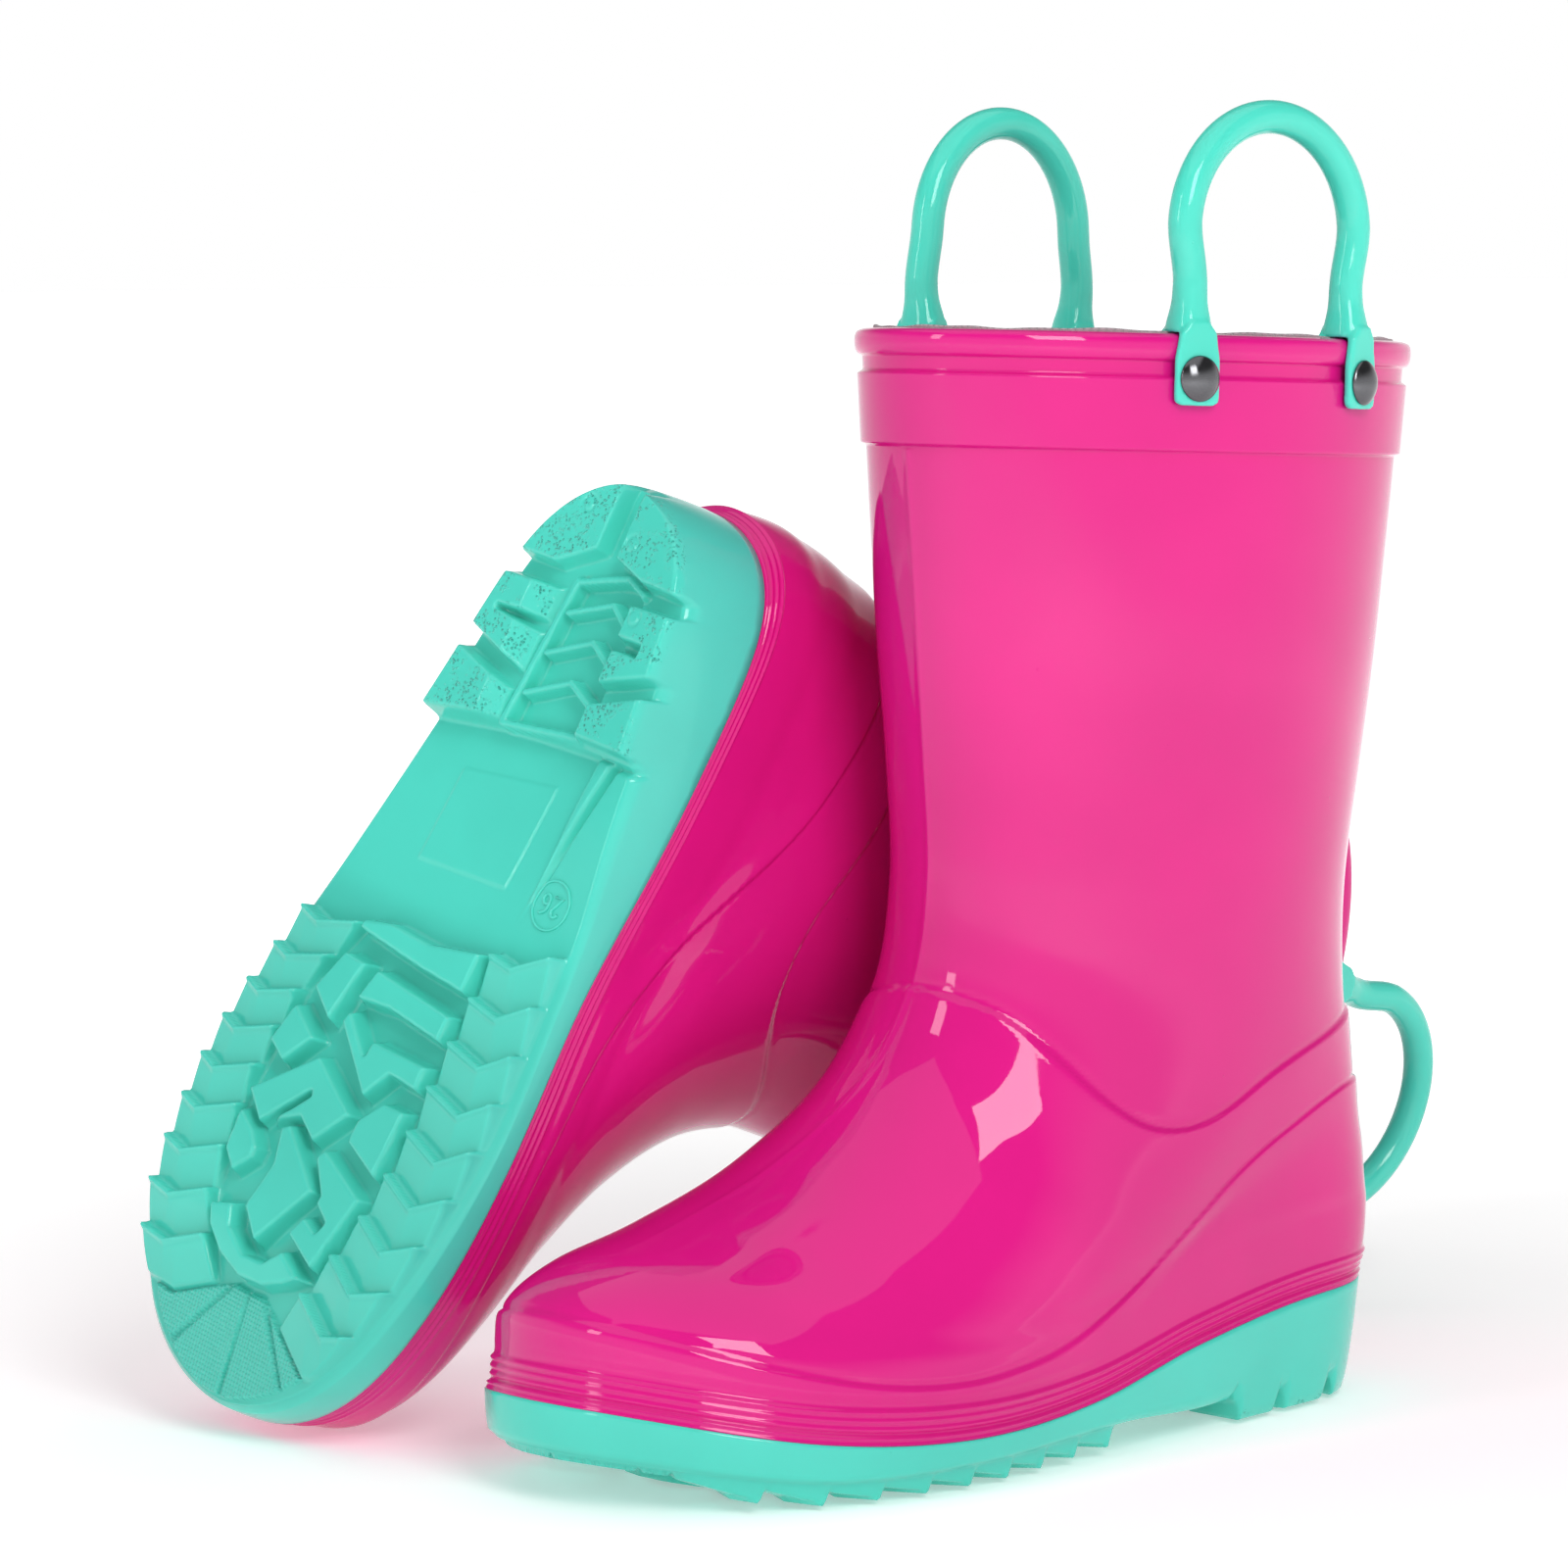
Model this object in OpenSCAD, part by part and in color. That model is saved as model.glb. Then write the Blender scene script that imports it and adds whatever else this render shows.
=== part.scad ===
// Pair of child's pull-on rain boots, size 26: moulded uppers on moulded outsoles, with knitted
// linings, loose insoles and riveted pull handles. The left boot stands on the ground, and the
// right boot leans beside it on its toe and its rim, sole forwards.
// Millimetres. +X points to the left boot's toe, +Y to its outer side, +Z up from the ground.

/* [Sole] */
// Length of the outsole from heel to toe
sole_length = 182; // [176:1:188]
// Height of a tread lug
lug_height = 3.6; // [2.5:0.1:4.5]
// Length of the heel block along the centre line
heel_length = 51; // [46:1:55]
// How far the toe end is swung towards the inner side
toe_swing = 12; // [8:1:14]

/* [Upper] */
// Thickness of the moulded upper
wall = 2.2; // [1.6:0.1:2.6]
// How far the welt stands out over the sole edge's inset line
welt = 1; // [0.5:0.1:1.2]
// How far the cuff band and the rim bead stand out
cuff = 1; // [0.6:0.1:1.2]
// Height of the cuff band's lower edge below the rim
cuff_drop = 20; // [16:1:24]

/* [Inside] */
// Thickness of the knitted lining
lining = 0.8; // [0.5:0.1:1.2]
// Thickness of the loose insole
insole = 3; // [2:0.5:4]

/* [Handles] */
// Distance between the two legs of a handle
handle_span = 40.6; // [36:0.2:44]
// Height of the handle's top centre line above the rim
handle_rise = 38.8; // [32:0.2:44]
// Diameter of the handle's rod
rod_d = 6; // [5:0.1:6.4]
// Width of the fork that straddles the rim
fork_w = 9; // [8:0.5:10]
// Length of the fork's tabs below the rim
fork_drop = 12; // [11:0.5:14]
// Diameter of a rivet's cap
cap_d = 8; // [7:0.2:8.6]

/* [Hidden] */
// Sides of a boot and legs of a handle
OUTER = 1;
INNER = -1;
// The origin is on the ground under the middle of the pair
pair_mid = [55, -42.1];
// Turns of the leaning right boot about X, Y and Z in degrees, and where its heel point lies. The
// two together lay its toe and its rim on the ground, so one changes only with the other
lean = [152, 64.6, -26.8];
lean_at = [123.9, -49, 171.3];
// Clearance between bonded layers, and between a rivet's shank and its hole
gap = 0.1;
shank_play = 0.05;
// Taller and wider than any part of a boot's sole
sole_room = 60;

// Half widths of the sole over the sine of the ring angle, at seven even steps, heel to toe
outer_half = [51, 35, 30.5, 32, 38, 44.5, 51];
inner_half = [43.5, 34.5, 33.5, 37.5, 46.5, 53, 62.5];
// Height of the feather line, where upper and sole meet, and of the sole's base, heel to toe
feather_z = [23.5, 20, 16, 11, 9, 11, 17.5];
base_z = [6, 6, 5.8, 4.8, 3.8, 4, 8.9];

// Sections of the foot, from the feather line to the ankle. Each row has the back point's x and z,
// the front point's x and z, the share of the sole's outline, the outer and inner half widths of
// the leg's share, the share of the feather line's sag, the share of the toe swing, the inset from
// the sole's outline, and the droop of the sides over the toes.
foot_sections = [
    [ 1.2, 23.5, 180.8, 17.5, 1.00, 41.0, 40.0, 1.00, 1.00, 1.5, 0.0],
    [-2.0, 28.0, 180.0, 26.0, 1.00, 41.0, 39.5, 0.95, 1.00, 2.0, 1.0],
    [-3.4, 33.5, 177.7, 33.2, 0.97, 40.0, 39.0, 0.85, 1.00, 3.0, 4.0],
    [-3.1, 39.0, 167.7, 39.2, 0.90, 37.0, 35.5, 0.70, 0.95, 4.0, 8.0],
    [-2.5, 46.5, 150.5, 44.2, 0.72, 34.0, 34.0, 0.45, 0.85, 4.5, 9.5],
    [-0.7, 55.0, 130.5, 52.2, 0.50, 32.5, 33.3, 0.25, 0.65, 4.5, 9.0],
    [ 1.0, 65.0, 113.5, 64.2, 0.30, 31.2, 32.2, 0.10, 0.40, 4.0, 7.0],
    [ 2.6, 78.0, 102.5, 80.3, 0.14, 30.7, 31.2, 0.03, 0.20, 3.5, 4.0],
    [ 2.0, 95.0,  99.8, 99.5, 0.05, 31.3, 31.6, 0.00, 0.05, 3.0, 1.5]
];
// The leg flares from the ankle to the rim. These are the two ends of its back and front lines
ankle_back = [-1.2, 115];
rim_back = [-13.3, 191.5];
ankle_front = [101, 121];
rim_front = [106, 196.4];
// Half width of the leg at each of its sections, ankle to rim
leg_half = [33.5, 35.3, 36, 36.4, 36.6];
leg_steps = len(leg_half) - 1;

function mix(a, b, k) = a + (b - a) * k;
function clamp(v, lo, hi) = min(max(v, lo), hi);
function ease(lo, hi, v) = let(k = clamp((v - lo) / (hi - lo), 0, 1)) k * k * (3 - 2 * k);
// Item i of a list, run on in a straight line past its ends
function item(v, i) = let(n = len(v))
    i < 0 ? 2 * v[0] - v[1] : i > n - 1 ? 2 * v[n - 1] - v[n - 2] : v[i];
// Smooth curve through a list's items, at place s
function through(v, s) = let(
    i = clamp(floor(s), 0, len(v) - 2), f = s - i,
    a = item(v, i - 1), b = v[i], c = v[i + 1], d = item(v, i + 2))
    b + 0.5 * f * (c - a + f * (2 * a - 5 * b + 4 * c - d + f * (3 * (b - c) + d - a)));

function leg_section(k) = let(s = k / leg_steps, b = mix(ankle_back, rim_back, s),
    f = mix(ankle_front, rim_front, s))
    [b[0], b[1], f[0], f[1], 0, leg_half[k], leg_half[k], 0, 0, 3, 0];
sections = concat(foot_sections, [for (k = [0 : leg_steps]) leg_section(k)]);
rim = len(sections) - 1;
leg_pitch = (rim_back[1] - ankle_back[1]) / leg_steps;
function below_rim(drop) = rim - drop / leg_pitch;

// ---------- sole outline ----------
function toe_bend(u) = toe_swing * pow(clamp((u - 0.4) / 0.6, 0, 1), 2);
function half_width(u, side) = through(side >= 0 ? outer_half : inner_half, 6 * u);
function along(phi) = (1 + cos(phi)) / 2;
function sole_point(phi, inset) = let(u = along(phi))
    [sole_length / 2 + (sole_length / 2 - inset) * cos(phi),
     sin(phi) * (half_width(u, sin(phi)) - inset) - toe_bend(u)];
module sole_plan(inset = 0) {
    polygon([for (i = [0 : 71]) sole_point(i * 5, inset)]);
}
function feather(u) = through(feather_z, 6 * u);
function base(u) = through(base_z, 6 * u);
// Ground clearance under the lugs, which rise with the toe
base_slope = 0.4;
function lug_foot(x) = max(0, base(clamp(x / sole_length, 0, 1)) - lug_height - base_slope);

// ---------- skin of the upper ----------
ring_n = 36;
// The foot's sections are drawn for this length of sole
drawn_length = 182;
stretch = sole_length / drawn_length;
// Inset of the upper's lowest ring from the sole's two ends
end_inset = 1.2;
function unit(v) = v / norm(v);
function front_out(t) = let(d = through(sections, t + 0.05) - through(sections, max(t - 0.05, 0)))
    t < 1 ? [1, 0] : unit([d[3], -d[2]]);
function back_out(t) = let(d = through(sections, t + 0.05) - through(sections, max(t - 0.05, 0)))
    t < 1 ? [-1, 0] : unit([-d[1], d[0]]);
// Point of the upper at ring angle phi and section t, moved out by off and up by lift
function skin(phi, t, off = 0, lift = 0) = let(
    s = through(sections, t), u = along(phi), k = sin(phi),
    b = [s[0] * stretch, s[1]] + off * back_out(t), f = [s[2] * stretch, s[3]] + off * front_out(t),
    h = s[4] * (half_width(u, k) - s[9]) + (1 - s[4]) * (k >= 0 ? s[5] : s[6]) + off)
    [mix(b[0], f[0], u), k * h - s[8] * toe_bend(u),
     mix(b[1], f[1], u) + s[7] * (feather(u) - mix(feather_z[0], feather_z[6], u))
     - s[10] * k * k * ease(0.25, 0.75, u) + lift];
function ring(t, off, lift = 0) = [for (i = [0 : ring_n - 1]) skin(i * 360 / ring_n, t, off, lift)];

// Closed solid through a stack of rings, with a strip cap across the first and the last. Rings
// climb up to ring number turn and come down inside after it, where faces split the other way
module ring_stack(rings, turn) {
    n = ring_n;
    last = (len(rings) - 1) * n;
    first_cap = [for (i = [1 : n / 2 - 2]) [i, i + 1, n - i - 1, n - i]];
    last_cap = [for (f = first_cap) [for (k = [3 : -1 : 0]) last + f[k]]];
    sides = [for (r = [0 : len(rings) - 2], i = [0 : n - 1])
        [r * n + i, r * n + n + i, r * n + n + (i + 1) % n, r * n + (i + 1) % n]];
    halves = [for (f = concat(first_cap, last_cap, sides)) let(inside = min(f) >= turn * n)
        each inside ? [[f[0], f[1], f[3]], [f[1], f[2], f[3]]] : [[f[0], f[1], f[2]], [f[0], f[2], f[3]]]];
    ends = [[0, 1, n - 1], [n / 2 - 1, n / 2, n / 2 + 1],
            [last + n - 1, last + 1, last], [last + n / 2 + 1, last + n / 2, last + n / 2 - 1]];
    polyhedron([for (r = rings) each r], concat(halves, ends), convexity = 10);
}

// The rim bead's height, the groove's lower edge below the rim, and how far its sides slope
bead_h = 4.1;
groove_low = 7.4;
groove_side = 0.5;
// Places on the foot's and leg's skin where its steps lie: [section, offset]
upper_steps = concat(
    [[0, welt], [0.3, welt], [0.35, 0.3], [1, 0], [1.5, 0], [2, 0], [2.5, 0], [3, 0], [3.5, 0],
     [4, 0], [4.5, 0], [5, 0], [5.5, 0], [6, 0], [6.5, 0], [7, 0], [8, 0], [9, 0], [10, 0], [11, 0]],
    [[below_rim(cuff_drop) - 0.03, 0], [below_rim(cuff_drop), cuff], [below_rim(groove_low), cuff],
     [below_rim(groove_low - groove_side), 0], [below_rim(bead_h + groove_side), 0],
     [below_rim(bead_h), cuff], [below_rim(0.6), cuff], [rim, cuff - 0.5]]);
inner_steps = [rim, 12, 11, 10, 9, 8, 7, 6.5, 6, 5.5, 5, 4.5, 4, 3.5, 3, 2.5, 2, 1.5, 1];

// ---------- handles ----------
rim_slope = atan2(rim_front[1] - rim_back[1], rim_front[0] - rim_back[0]);
rim_mid = [(rim_front[0] + rim_back[0]) / 2, 0, (rim_front[1] + rim_back[1]) / 2];
rim_a = (rim_front[0] - rim_back[0]) / 2;
rim_b = leg_half[leg_steps];
handle_shift = 2;
fork_t = 1.6;
fork_seat = 0.6;
pivot_h = 5.6;
rivet_drop = 7.3;
shank_r = 1.5;
flange_r = 3.4;
flange_t = 0.6;
// How far a rivet hole's cutter reaches to each side of the leg's outer face
hole_reach = 7;
// Wall stack at the fork, along the wall's normal from the leg's outer face
stack_in = -(wall + gap + lining);
// The flat inner tab touches the curved lining only along its edges
tab_gap = 0.45;
tab_out = [cuff + gap, cuff + gap + fork_t];
tab_in = [stack_in - tab_gap - fork_t, stack_in - tab_gap];
mid_n = (tab_out[1] + tab_in[0]) / 2;
FRONT = handle_shift + handle_span / 2;
REAR = handle_shift - handle_span / 2;
function wall_y(dx) = rim_b * sqrt(1 - pow(dx / rim_a, 2));
function wall_turn(dx) = atan2(dx / pow(rim_a, 2), wall_y(dx) / pow(rim_b, 2));
handle_y = (wall_y(FRONT) + wall_y(REAR)) / 2 + mid_n;

// Puts children at the rim, with +X along it, +Y out of the boot and +Z up. side is OUTER or INNER
module at_rim(side) {
    translate(rim_mid) rotate([0, -rim_slope, 0]) mirror([0, side < 0 ? 1 : 0, 0]) children();
}
// Puts children at one of the two forks, with +Y along the wall's normal from its outer face
module at_fork(dx) {
    translate([dx, wall_y(dx), 0]) rotate([0, 0, -wall_turn(dx)]) children();
}
module fork(dx) {
    color("mediumturquoise") at_fork(dx) difference() {
        union() {
            for (tab = [tab_out, tab_in]) translate([0, tab[1], 0]) rotate([90, 0, 0])
                linear_extrude(tab[1] - tab[0]) tab_plan();
            translate([-fork_w / 2, tab_in[0], fork_seat]) cube([fork_w, tab_out[1] - tab_in[0], fork_t]);
        }
        translate([0, hole_reach, -rivet_drop]) rotate([90, 0, 0])
            cylinder(h = 2 * hole_reach, r = shank_r + shank_play, $fn = 32);
    }
}
module tab_plan() {
    corner = 1.5;
    translate([-fork_w / 2, -fork_drop + corner]) square([fork_w, fork_drop - corner + fork_seat + fork_t]);
    translate([-fork_w / 2 + corner, -fork_drop]) square([fork_w - 2 * corner, 2 * corner]);
    for (x = [-1, 1]) translate([x * (fork_w / 2 - corner), -fork_drop + corner]) circle(corner, $fn = 32);
}
module loop() {
    r = handle_span / 2;
    color("mediumturquoise") translate([handle_shift, handle_y, 0]) {
        translate([0, 0, handle_rise - r]) rotate([90, 0, 0])
            rotate_extrude(angle = 180, $fn = 96) translate([r, 0]) circle(rod_d / 2, $fn = 48);
        for (x = [-r, r]) translate([x, 0, pivot_h]) {
            cylinder(h = handle_rise - r - pivot_h, r = rod_d / 2, $fn = 48);
            sphere(rod_d / 2, $fn = 48);
        }
    }
}
module rivet_cap(dx) {
    rise = 1.7;
    rim_t = 0.4;
    base_r = cap_d / 2;
    dome_r = (base_r * base_r + rise * rise) / (2 * rise);
    color("dimgray") at_fork(dx) translate([0, tab_out[1], -rivet_drop]) rotate([-90, 0, 0])
        intersection() {
            translate([0, 0, rise + rim_t - dome_r]) sphere(dome_r, $fn = 64);
            cylinder(h = rise + 2 * rim_t, r = base_r, $fn = 64);
        }
}
module rivet_post(dx) {
    color("dimgray") at_fork(dx) translate([0, tab_in[0] - flange_t, -rivet_drop]) rotate([-90, 0, 0]) {
        cylinder(h = flange_t, r = flange_r, $fn = 48);
        cylinder(h = flange_t + tab_out[1] - tab_in[0], r = shank_r, $fn = 32);
    }
}
// The four rivets' shanks, as clearance holes through the leg's wall
module rivet_holes() {
    for (side = [OUTER, INNER], dx = [FRONT, REAR]) at_rim(side) at_fork(dx)
        translate([0, hole_reach, -rivet_drop]) rotate([90, 0, 0])
            cylinder(h = 2 * hole_reach, r = shank_r + shank_play, $fn = 32);
}

// ---------- one boot, as a left boot in its own frame ----------
module upper() {
    color("deeppink") difference() {
        ring_stack(concat([for (s = upper_steps) ring(s[0], s[1])],
            [for (t = inner_steps) ring(t, -wall)], [ring(0, -wall, wall)]), len(upper_steps));
        rivet_holes();
    }
}
module lining_sock() {
    far = wall + gap;
    near = far + lining;
    color("mistyrose") difference() {
        ring_stack(concat([ring(0, -far, far)],
            [for (i = [len(inner_steps) - 1 : -1 : 0]) ring(inner_steps[i], -far)],
            [for (t = inner_steps) ring(t, -near)], [ring(0, -near, near)]), len(inner_steps) + 1);
        rivet_holes();
    }
}
// Band between two curves over the sole's length, swept across the boot's width
module side_band(low, high) {
    rotate([90, 0, 0]) linear_extrude(2 * sole_room, center = true)
        polygon(concat(low, [for (i = [len(high) - 1 : -1 : 0]) high[i]]));
}
// Line of the feather as a ring at this inset from the sole's ends sees it, raised by lift
function feather_line(inset, lift = 0) = concat([[-2, feather(0) + lift]],
    [for (i = [ring_n / 2 : -1 : 0]) let(phi = i * 360 / ring_n)
        [sole_length / 2 + (sole_length / 2 - inset) * cos(phi), feather(along(phi)) + lift]],
    [[sole_length + 2, feather(1) + lift]]);
module insole_pad() {
    floor = wall + gap + lining;
    insole_inset = 4;
    color("lightgray") intersection() {
        linear_extrude(sole_room) sole_plan(floor + insole_inset);
        side_band(feather_line(end_inset + floor, floor + 2 * gap),
            feather_line(end_inset + floor, floor + 2 * gap + insole));
    }
}

// ---------- outsole and its tread ----------
edge_lugs = 9;
lug_len = 6.4;
// Highest that the base lies over the heel block
heel_top = 9;
lug_sink = 0.01;
base_steps = 24;
module outsole() {
    color("turquoise") intersection() {
        linear_extrude(sole_room) sole_plan();
        union() {
            side_band([for (i = [-1 : base_steps + 1]) let(k = i / base_steps)
                [k * sole_length, base(clamp(k, 0, 1))]], feather_line(end_inset - welt));
            translate([0, 0, lug_height]) linear_extrude(heel_top - lug_height) heel_plan();
            linear_extrude(lug_height + lug_sink) heel_lugs();
            for (i = [0 : edge_lugs - 1]) {
                lug(outer_lug(i));
                lug(inner_lug(i));
            }
            for (p = centre_lugs) lug(p);
        }
    }
}
// A lug stands on the base and ends level with the ground, or above it where the toe rises
module lug(points) {
    x = min([for (p = points) p[0]]);
    translate([0, 0, lug_foot(x)]) linear_extrude(lug_height + 4 * base_slope) polygon(points);
}
// Chevron lugs along both edges: the ridge line, and the same line a lug's length ahead
function bend(i, top, drop, mid) = top + drop * pow(i - mid, 2);
function chevron(a) = concat(a, [for (k = [len(a) - 1 : -1 : 0]) a[k] + [lug_len, 0]]);
function outer_lug(i) = chevron([[79 + 9.4 * i, 50], [89 + 9.05 * i, bend(i, 24.5, -0.42, 3)],
    [88 + 8.5 * i, bend(max(i, 4), 13.5, -0.53, 4)]]);
function inner_lug(i) = chevron([[92.5 + 7.8 * i, bend(i, -30, 0.49, 4.5)],
    [95.3 + 8 * i, bend(i, -39.5, 0.45, 4.5)], [88 + 8.45 * i, -60]]);
centre_lugs = [
    [[89, 13], [98.5, 13], [95, -19], [91, -19]],
    [[101, 13], [108, 13], [106, -4], [106, -12], [99, -10]],
    [[110.5, 13], [117, 13], [116, 5], [122, 0], [111, -14], [107.5, -11], [113.5, -4], [110.5, -3]],
    [[119.5, 13], [134, 11.5], [129.5, 1], [124.5, 1], [119.5, 6]],
    [[137, 10.5], [153, 4.5], [148.5, -4], [141, 2], [134.5, -6], [131.5, -3]],
    [[139.5, -1], [153, -11], [147, -17], [143, -14], [137, -20], [131, -16]],
    [[124.5, -1], [132.5, -7], [126, -15], [131, -21], [127, -27], [117, -15]],
    [[98, -13], [108, -16], [112, -15.5], [107, -24], [98, -20]],
    [[115, -17], [122, -23], [119, -28], [110, -25]]
];
module heel_plan() {
    polygon([[-5, -60], [heel_length + 3, -60], [heel_length + 2, -30], [heel_length - 1, -8],
             [heel_length - 2, 60], [-5, 60]]);
}
module heel_lugs() {
    polygon([[-5, 3.5], [16, 3.5], [19, 12], [19, 60], [-5, 60]]);
    polygon([[-5, -1], [15.5, -1], [20, -10], [21, -60], [-5, -60]]);
    polygon([[22, 12], [38, 12], [31, 30], [31, 60], [22, 60]]);
    polygon([[41, 12], [heel_length - 2.5, 12], [heel_length - 2, 60], [34, 60], [34, 30]]);
    polygon([[23.5, -8], [41, -8], [35, -27], [33, -60], [25, -60]]);
    polygon([[43.5, -9], [heel_length - 1, -9], [heel_length + 2, -30], [heel_length + 2, -60],
             [36, -60], [38, -27]]);
}

// ---------- the pair ----------
module left_boot() {
    translate([-pair_mid[0], -pair_mid[1], 0]) children();
}
module right_boot() {
    translate([-pair_mid[0], -pair_mid[1], 0]) translate(lean_at) rotate(lean) mirror([0, 1, 0]) children();
}
left_boot() upper();  // left_upper
left_boot() outsole();  // left_outsole
left_boot() lining_sock();  // left_lining
left_boot() insole_pad();  // left_insole
left_boot() at_rim(OUTER) loop();  // left_outer_handle
left_boot() at_rim(OUTER) fork(FRONT);  // left_outer_front_fork
left_boot() at_rim(OUTER) rivet_cap(FRONT);  // left_outer_front_rivet_cap
left_boot() at_rim(OUTER) rivet_post(FRONT);  // left_outer_front_rivet_post
left_boot() at_rim(OUTER) fork(REAR);  // left_outer_rear_fork
left_boot() at_rim(OUTER) rivet_cap(REAR);  // left_outer_rear_rivet_cap
left_boot() at_rim(OUTER) rivet_post(REAR);  // left_outer_rear_rivet_post
left_boot() at_rim(INNER) loop();  // left_inner_handle
left_boot() at_rim(INNER) fork(FRONT);  // left_inner_front_fork
left_boot() at_rim(INNER) rivet_cap(FRONT);  // left_inner_front_rivet_cap
left_boot() at_rim(INNER) rivet_post(FRONT);  // left_inner_front_rivet_post
left_boot() at_rim(INNER) fork(REAR);  // left_inner_rear_fork
left_boot() at_rim(INNER) rivet_cap(REAR);  // left_inner_rear_rivet_cap
left_boot() at_rim(INNER) rivet_post(REAR);  // left_inner_rear_rivet_post
right_boot() upper();  // right_upper
right_boot() outsole();  // right_outsole
right_boot() lining_sock();  // right_lining
right_boot() insole_pad();  // right_insole
right_boot() at_rim(OUTER) loop();  // right_outer_handle
right_boot() at_rim(OUTER) fork(FRONT);  // right_outer_front_fork
right_boot() at_rim(OUTER) rivet_cap(FRONT);  // right_outer_front_rivet_cap
right_boot() at_rim(OUTER) rivet_post(FRONT);  // right_outer_front_rivet_post
right_boot() at_rim(OUTER) fork(REAR);  // right_outer_rear_fork
right_boot() at_rim(OUTER) rivet_cap(REAR);  // right_outer_rear_rivet_cap
right_boot() at_rim(OUTER) rivet_post(REAR);  // right_outer_rear_rivet_post
right_boot() at_rim(INNER) loop();  // right_inner_handle
right_boot() at_rim(INNER) fork(FRONT);  // right_inner_front_fork
right_boot() at_rim(INNER) rivet_cap(FRONT);  // right_inner_front_rivet_cap
right_boot() at_rim(INNER) rivet_post(FRONT);  // right_inner_front_rivet_post
right_boot() at_rim(INNER) fork(REAR);  // right_inner_rear_fork
right_boot() at_rim(INNER) rivet_cap(REAR);  // right_inner_rear_rivet_cap
right_boot() at_rim(INNER) rivet_post(REAR);  // right_inner_rear_rivet_post
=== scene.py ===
"""Looks of a pair of child's pull-on rain boots: glossy moulded uppers, lugged outsoles with their
size mark, knitted linings, felt insoles, riveted pull handles, and a plain studio stage."""
import math

import bmesh
import bpy
import numpy as np
from mathutils import Euler, Matrix, Vector


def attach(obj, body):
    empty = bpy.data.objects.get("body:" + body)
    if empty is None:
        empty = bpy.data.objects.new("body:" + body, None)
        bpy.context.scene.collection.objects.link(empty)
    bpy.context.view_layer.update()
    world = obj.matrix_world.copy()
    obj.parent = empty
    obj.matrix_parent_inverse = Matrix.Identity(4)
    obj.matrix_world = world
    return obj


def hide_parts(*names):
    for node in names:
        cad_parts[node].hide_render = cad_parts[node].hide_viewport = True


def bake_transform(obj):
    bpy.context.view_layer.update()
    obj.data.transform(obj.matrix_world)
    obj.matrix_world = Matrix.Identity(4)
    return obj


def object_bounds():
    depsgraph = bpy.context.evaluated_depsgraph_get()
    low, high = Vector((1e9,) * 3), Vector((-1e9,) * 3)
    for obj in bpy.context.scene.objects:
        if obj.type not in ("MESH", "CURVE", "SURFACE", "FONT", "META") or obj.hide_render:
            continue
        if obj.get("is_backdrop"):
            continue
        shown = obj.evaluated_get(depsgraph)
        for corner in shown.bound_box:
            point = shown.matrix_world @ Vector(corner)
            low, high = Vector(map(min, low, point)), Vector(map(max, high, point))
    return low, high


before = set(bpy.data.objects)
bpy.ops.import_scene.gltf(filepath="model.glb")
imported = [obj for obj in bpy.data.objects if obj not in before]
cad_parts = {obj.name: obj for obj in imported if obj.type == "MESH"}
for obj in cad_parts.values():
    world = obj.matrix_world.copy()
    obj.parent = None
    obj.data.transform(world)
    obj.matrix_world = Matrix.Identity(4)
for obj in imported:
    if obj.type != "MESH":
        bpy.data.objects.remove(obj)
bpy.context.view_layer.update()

bl_info = {
    "name": "Rain Boots",
    "version": (1, 0, 0),
    "blender": (4, 5, 0),
    "location": "View3D > Sidebar > Rain Boots",
    "description": "Builds the visible pieces of a pair of rain boots around their packed frame",
    "category": "Object",
}

MM = 0.001
BOOTS = ("left", "right")
SIDES = {"outer": 1, "inner": -1}

# ---------------------------------------------------------------- the boot's shape, in millimetres
# Boot frame: X from the heel's back to the toe, +Y to the outer side, Z up from the ground.
PAIR_MID = np.array([55.0, -42.1, 0.0])
LEAN = (152.0, 64.6, -26.8)
LEAN_AT = np.array([123.9, -49.0, 171.3])
LEAN_TURN = np.array(Euler([math.radians(a) for a in LEAN], "XYZ").to_matrix())

LENGTH = 182.0
TOE_SWING = 12.0
OUTER_HALF = [51, 35, 30.5, 32, 38, 44.5, 51]
INNER_HALF = [43.5, 34.5, 33.5, 37.5, 46.5, 53, 62.5]
FEATHER_Z = [21, 20.1, 16.2, 10.3, 8.6, 11, 17.5]
BASE_Z = [6, 6, 5.8, 4.8, 3.8, 4, 8.9]
# Back x and z, front x and z, outline share, outer and inner half width, sag, swing, inset, droop
FOOT_SECTIONS = [
    [1.2, 21.0, 180.8, 17.5, 1.00, 41.0, 40.0, 1.00, 1.00, 1.5, 0.0],
    [-2.0, 26.0, 180.0, 26.0, 1.00, 41.0, 39.5, 0.95, 1.00, 2.0, 1.0],
    [-3.4, 33.5, 177.7, 33.2, 0.97, 40.0, 39.0, 0.85, 1.00, 3.0, 4.0],
    [-3.1, 39.0, 167.7, 39.2, 0.90, 37.0, 35.5, 0.70, 0.95, 4.0, 8.0],
    [-2.5, 46.5, 150.5, 44.2, 0.72, 34.0, 34.0, 0.45, 0.85, 4.5, 9.5],
    [-0.7, 55.0, 130.5, 52.2, 0.50, 32.5, 33.3, 0.25, 0.65, 4.5, 9.0],
    [1.0, 65.0, 113.5, 64.2, 0.30, 31.2, 32.2, 0.10, 0.40, 4.0, 7.0],
    [2.6, 78.0, 102.5, 80.3, 0.14, 30.7, 31.2, 0.03, 0.20, 3.5, 4.0],
    [2.0, 95.0, 99.8, 99.5, 0.05, 31.3, 31.6, 0.00, 0.05, 3.0, 1.5],
]
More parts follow.
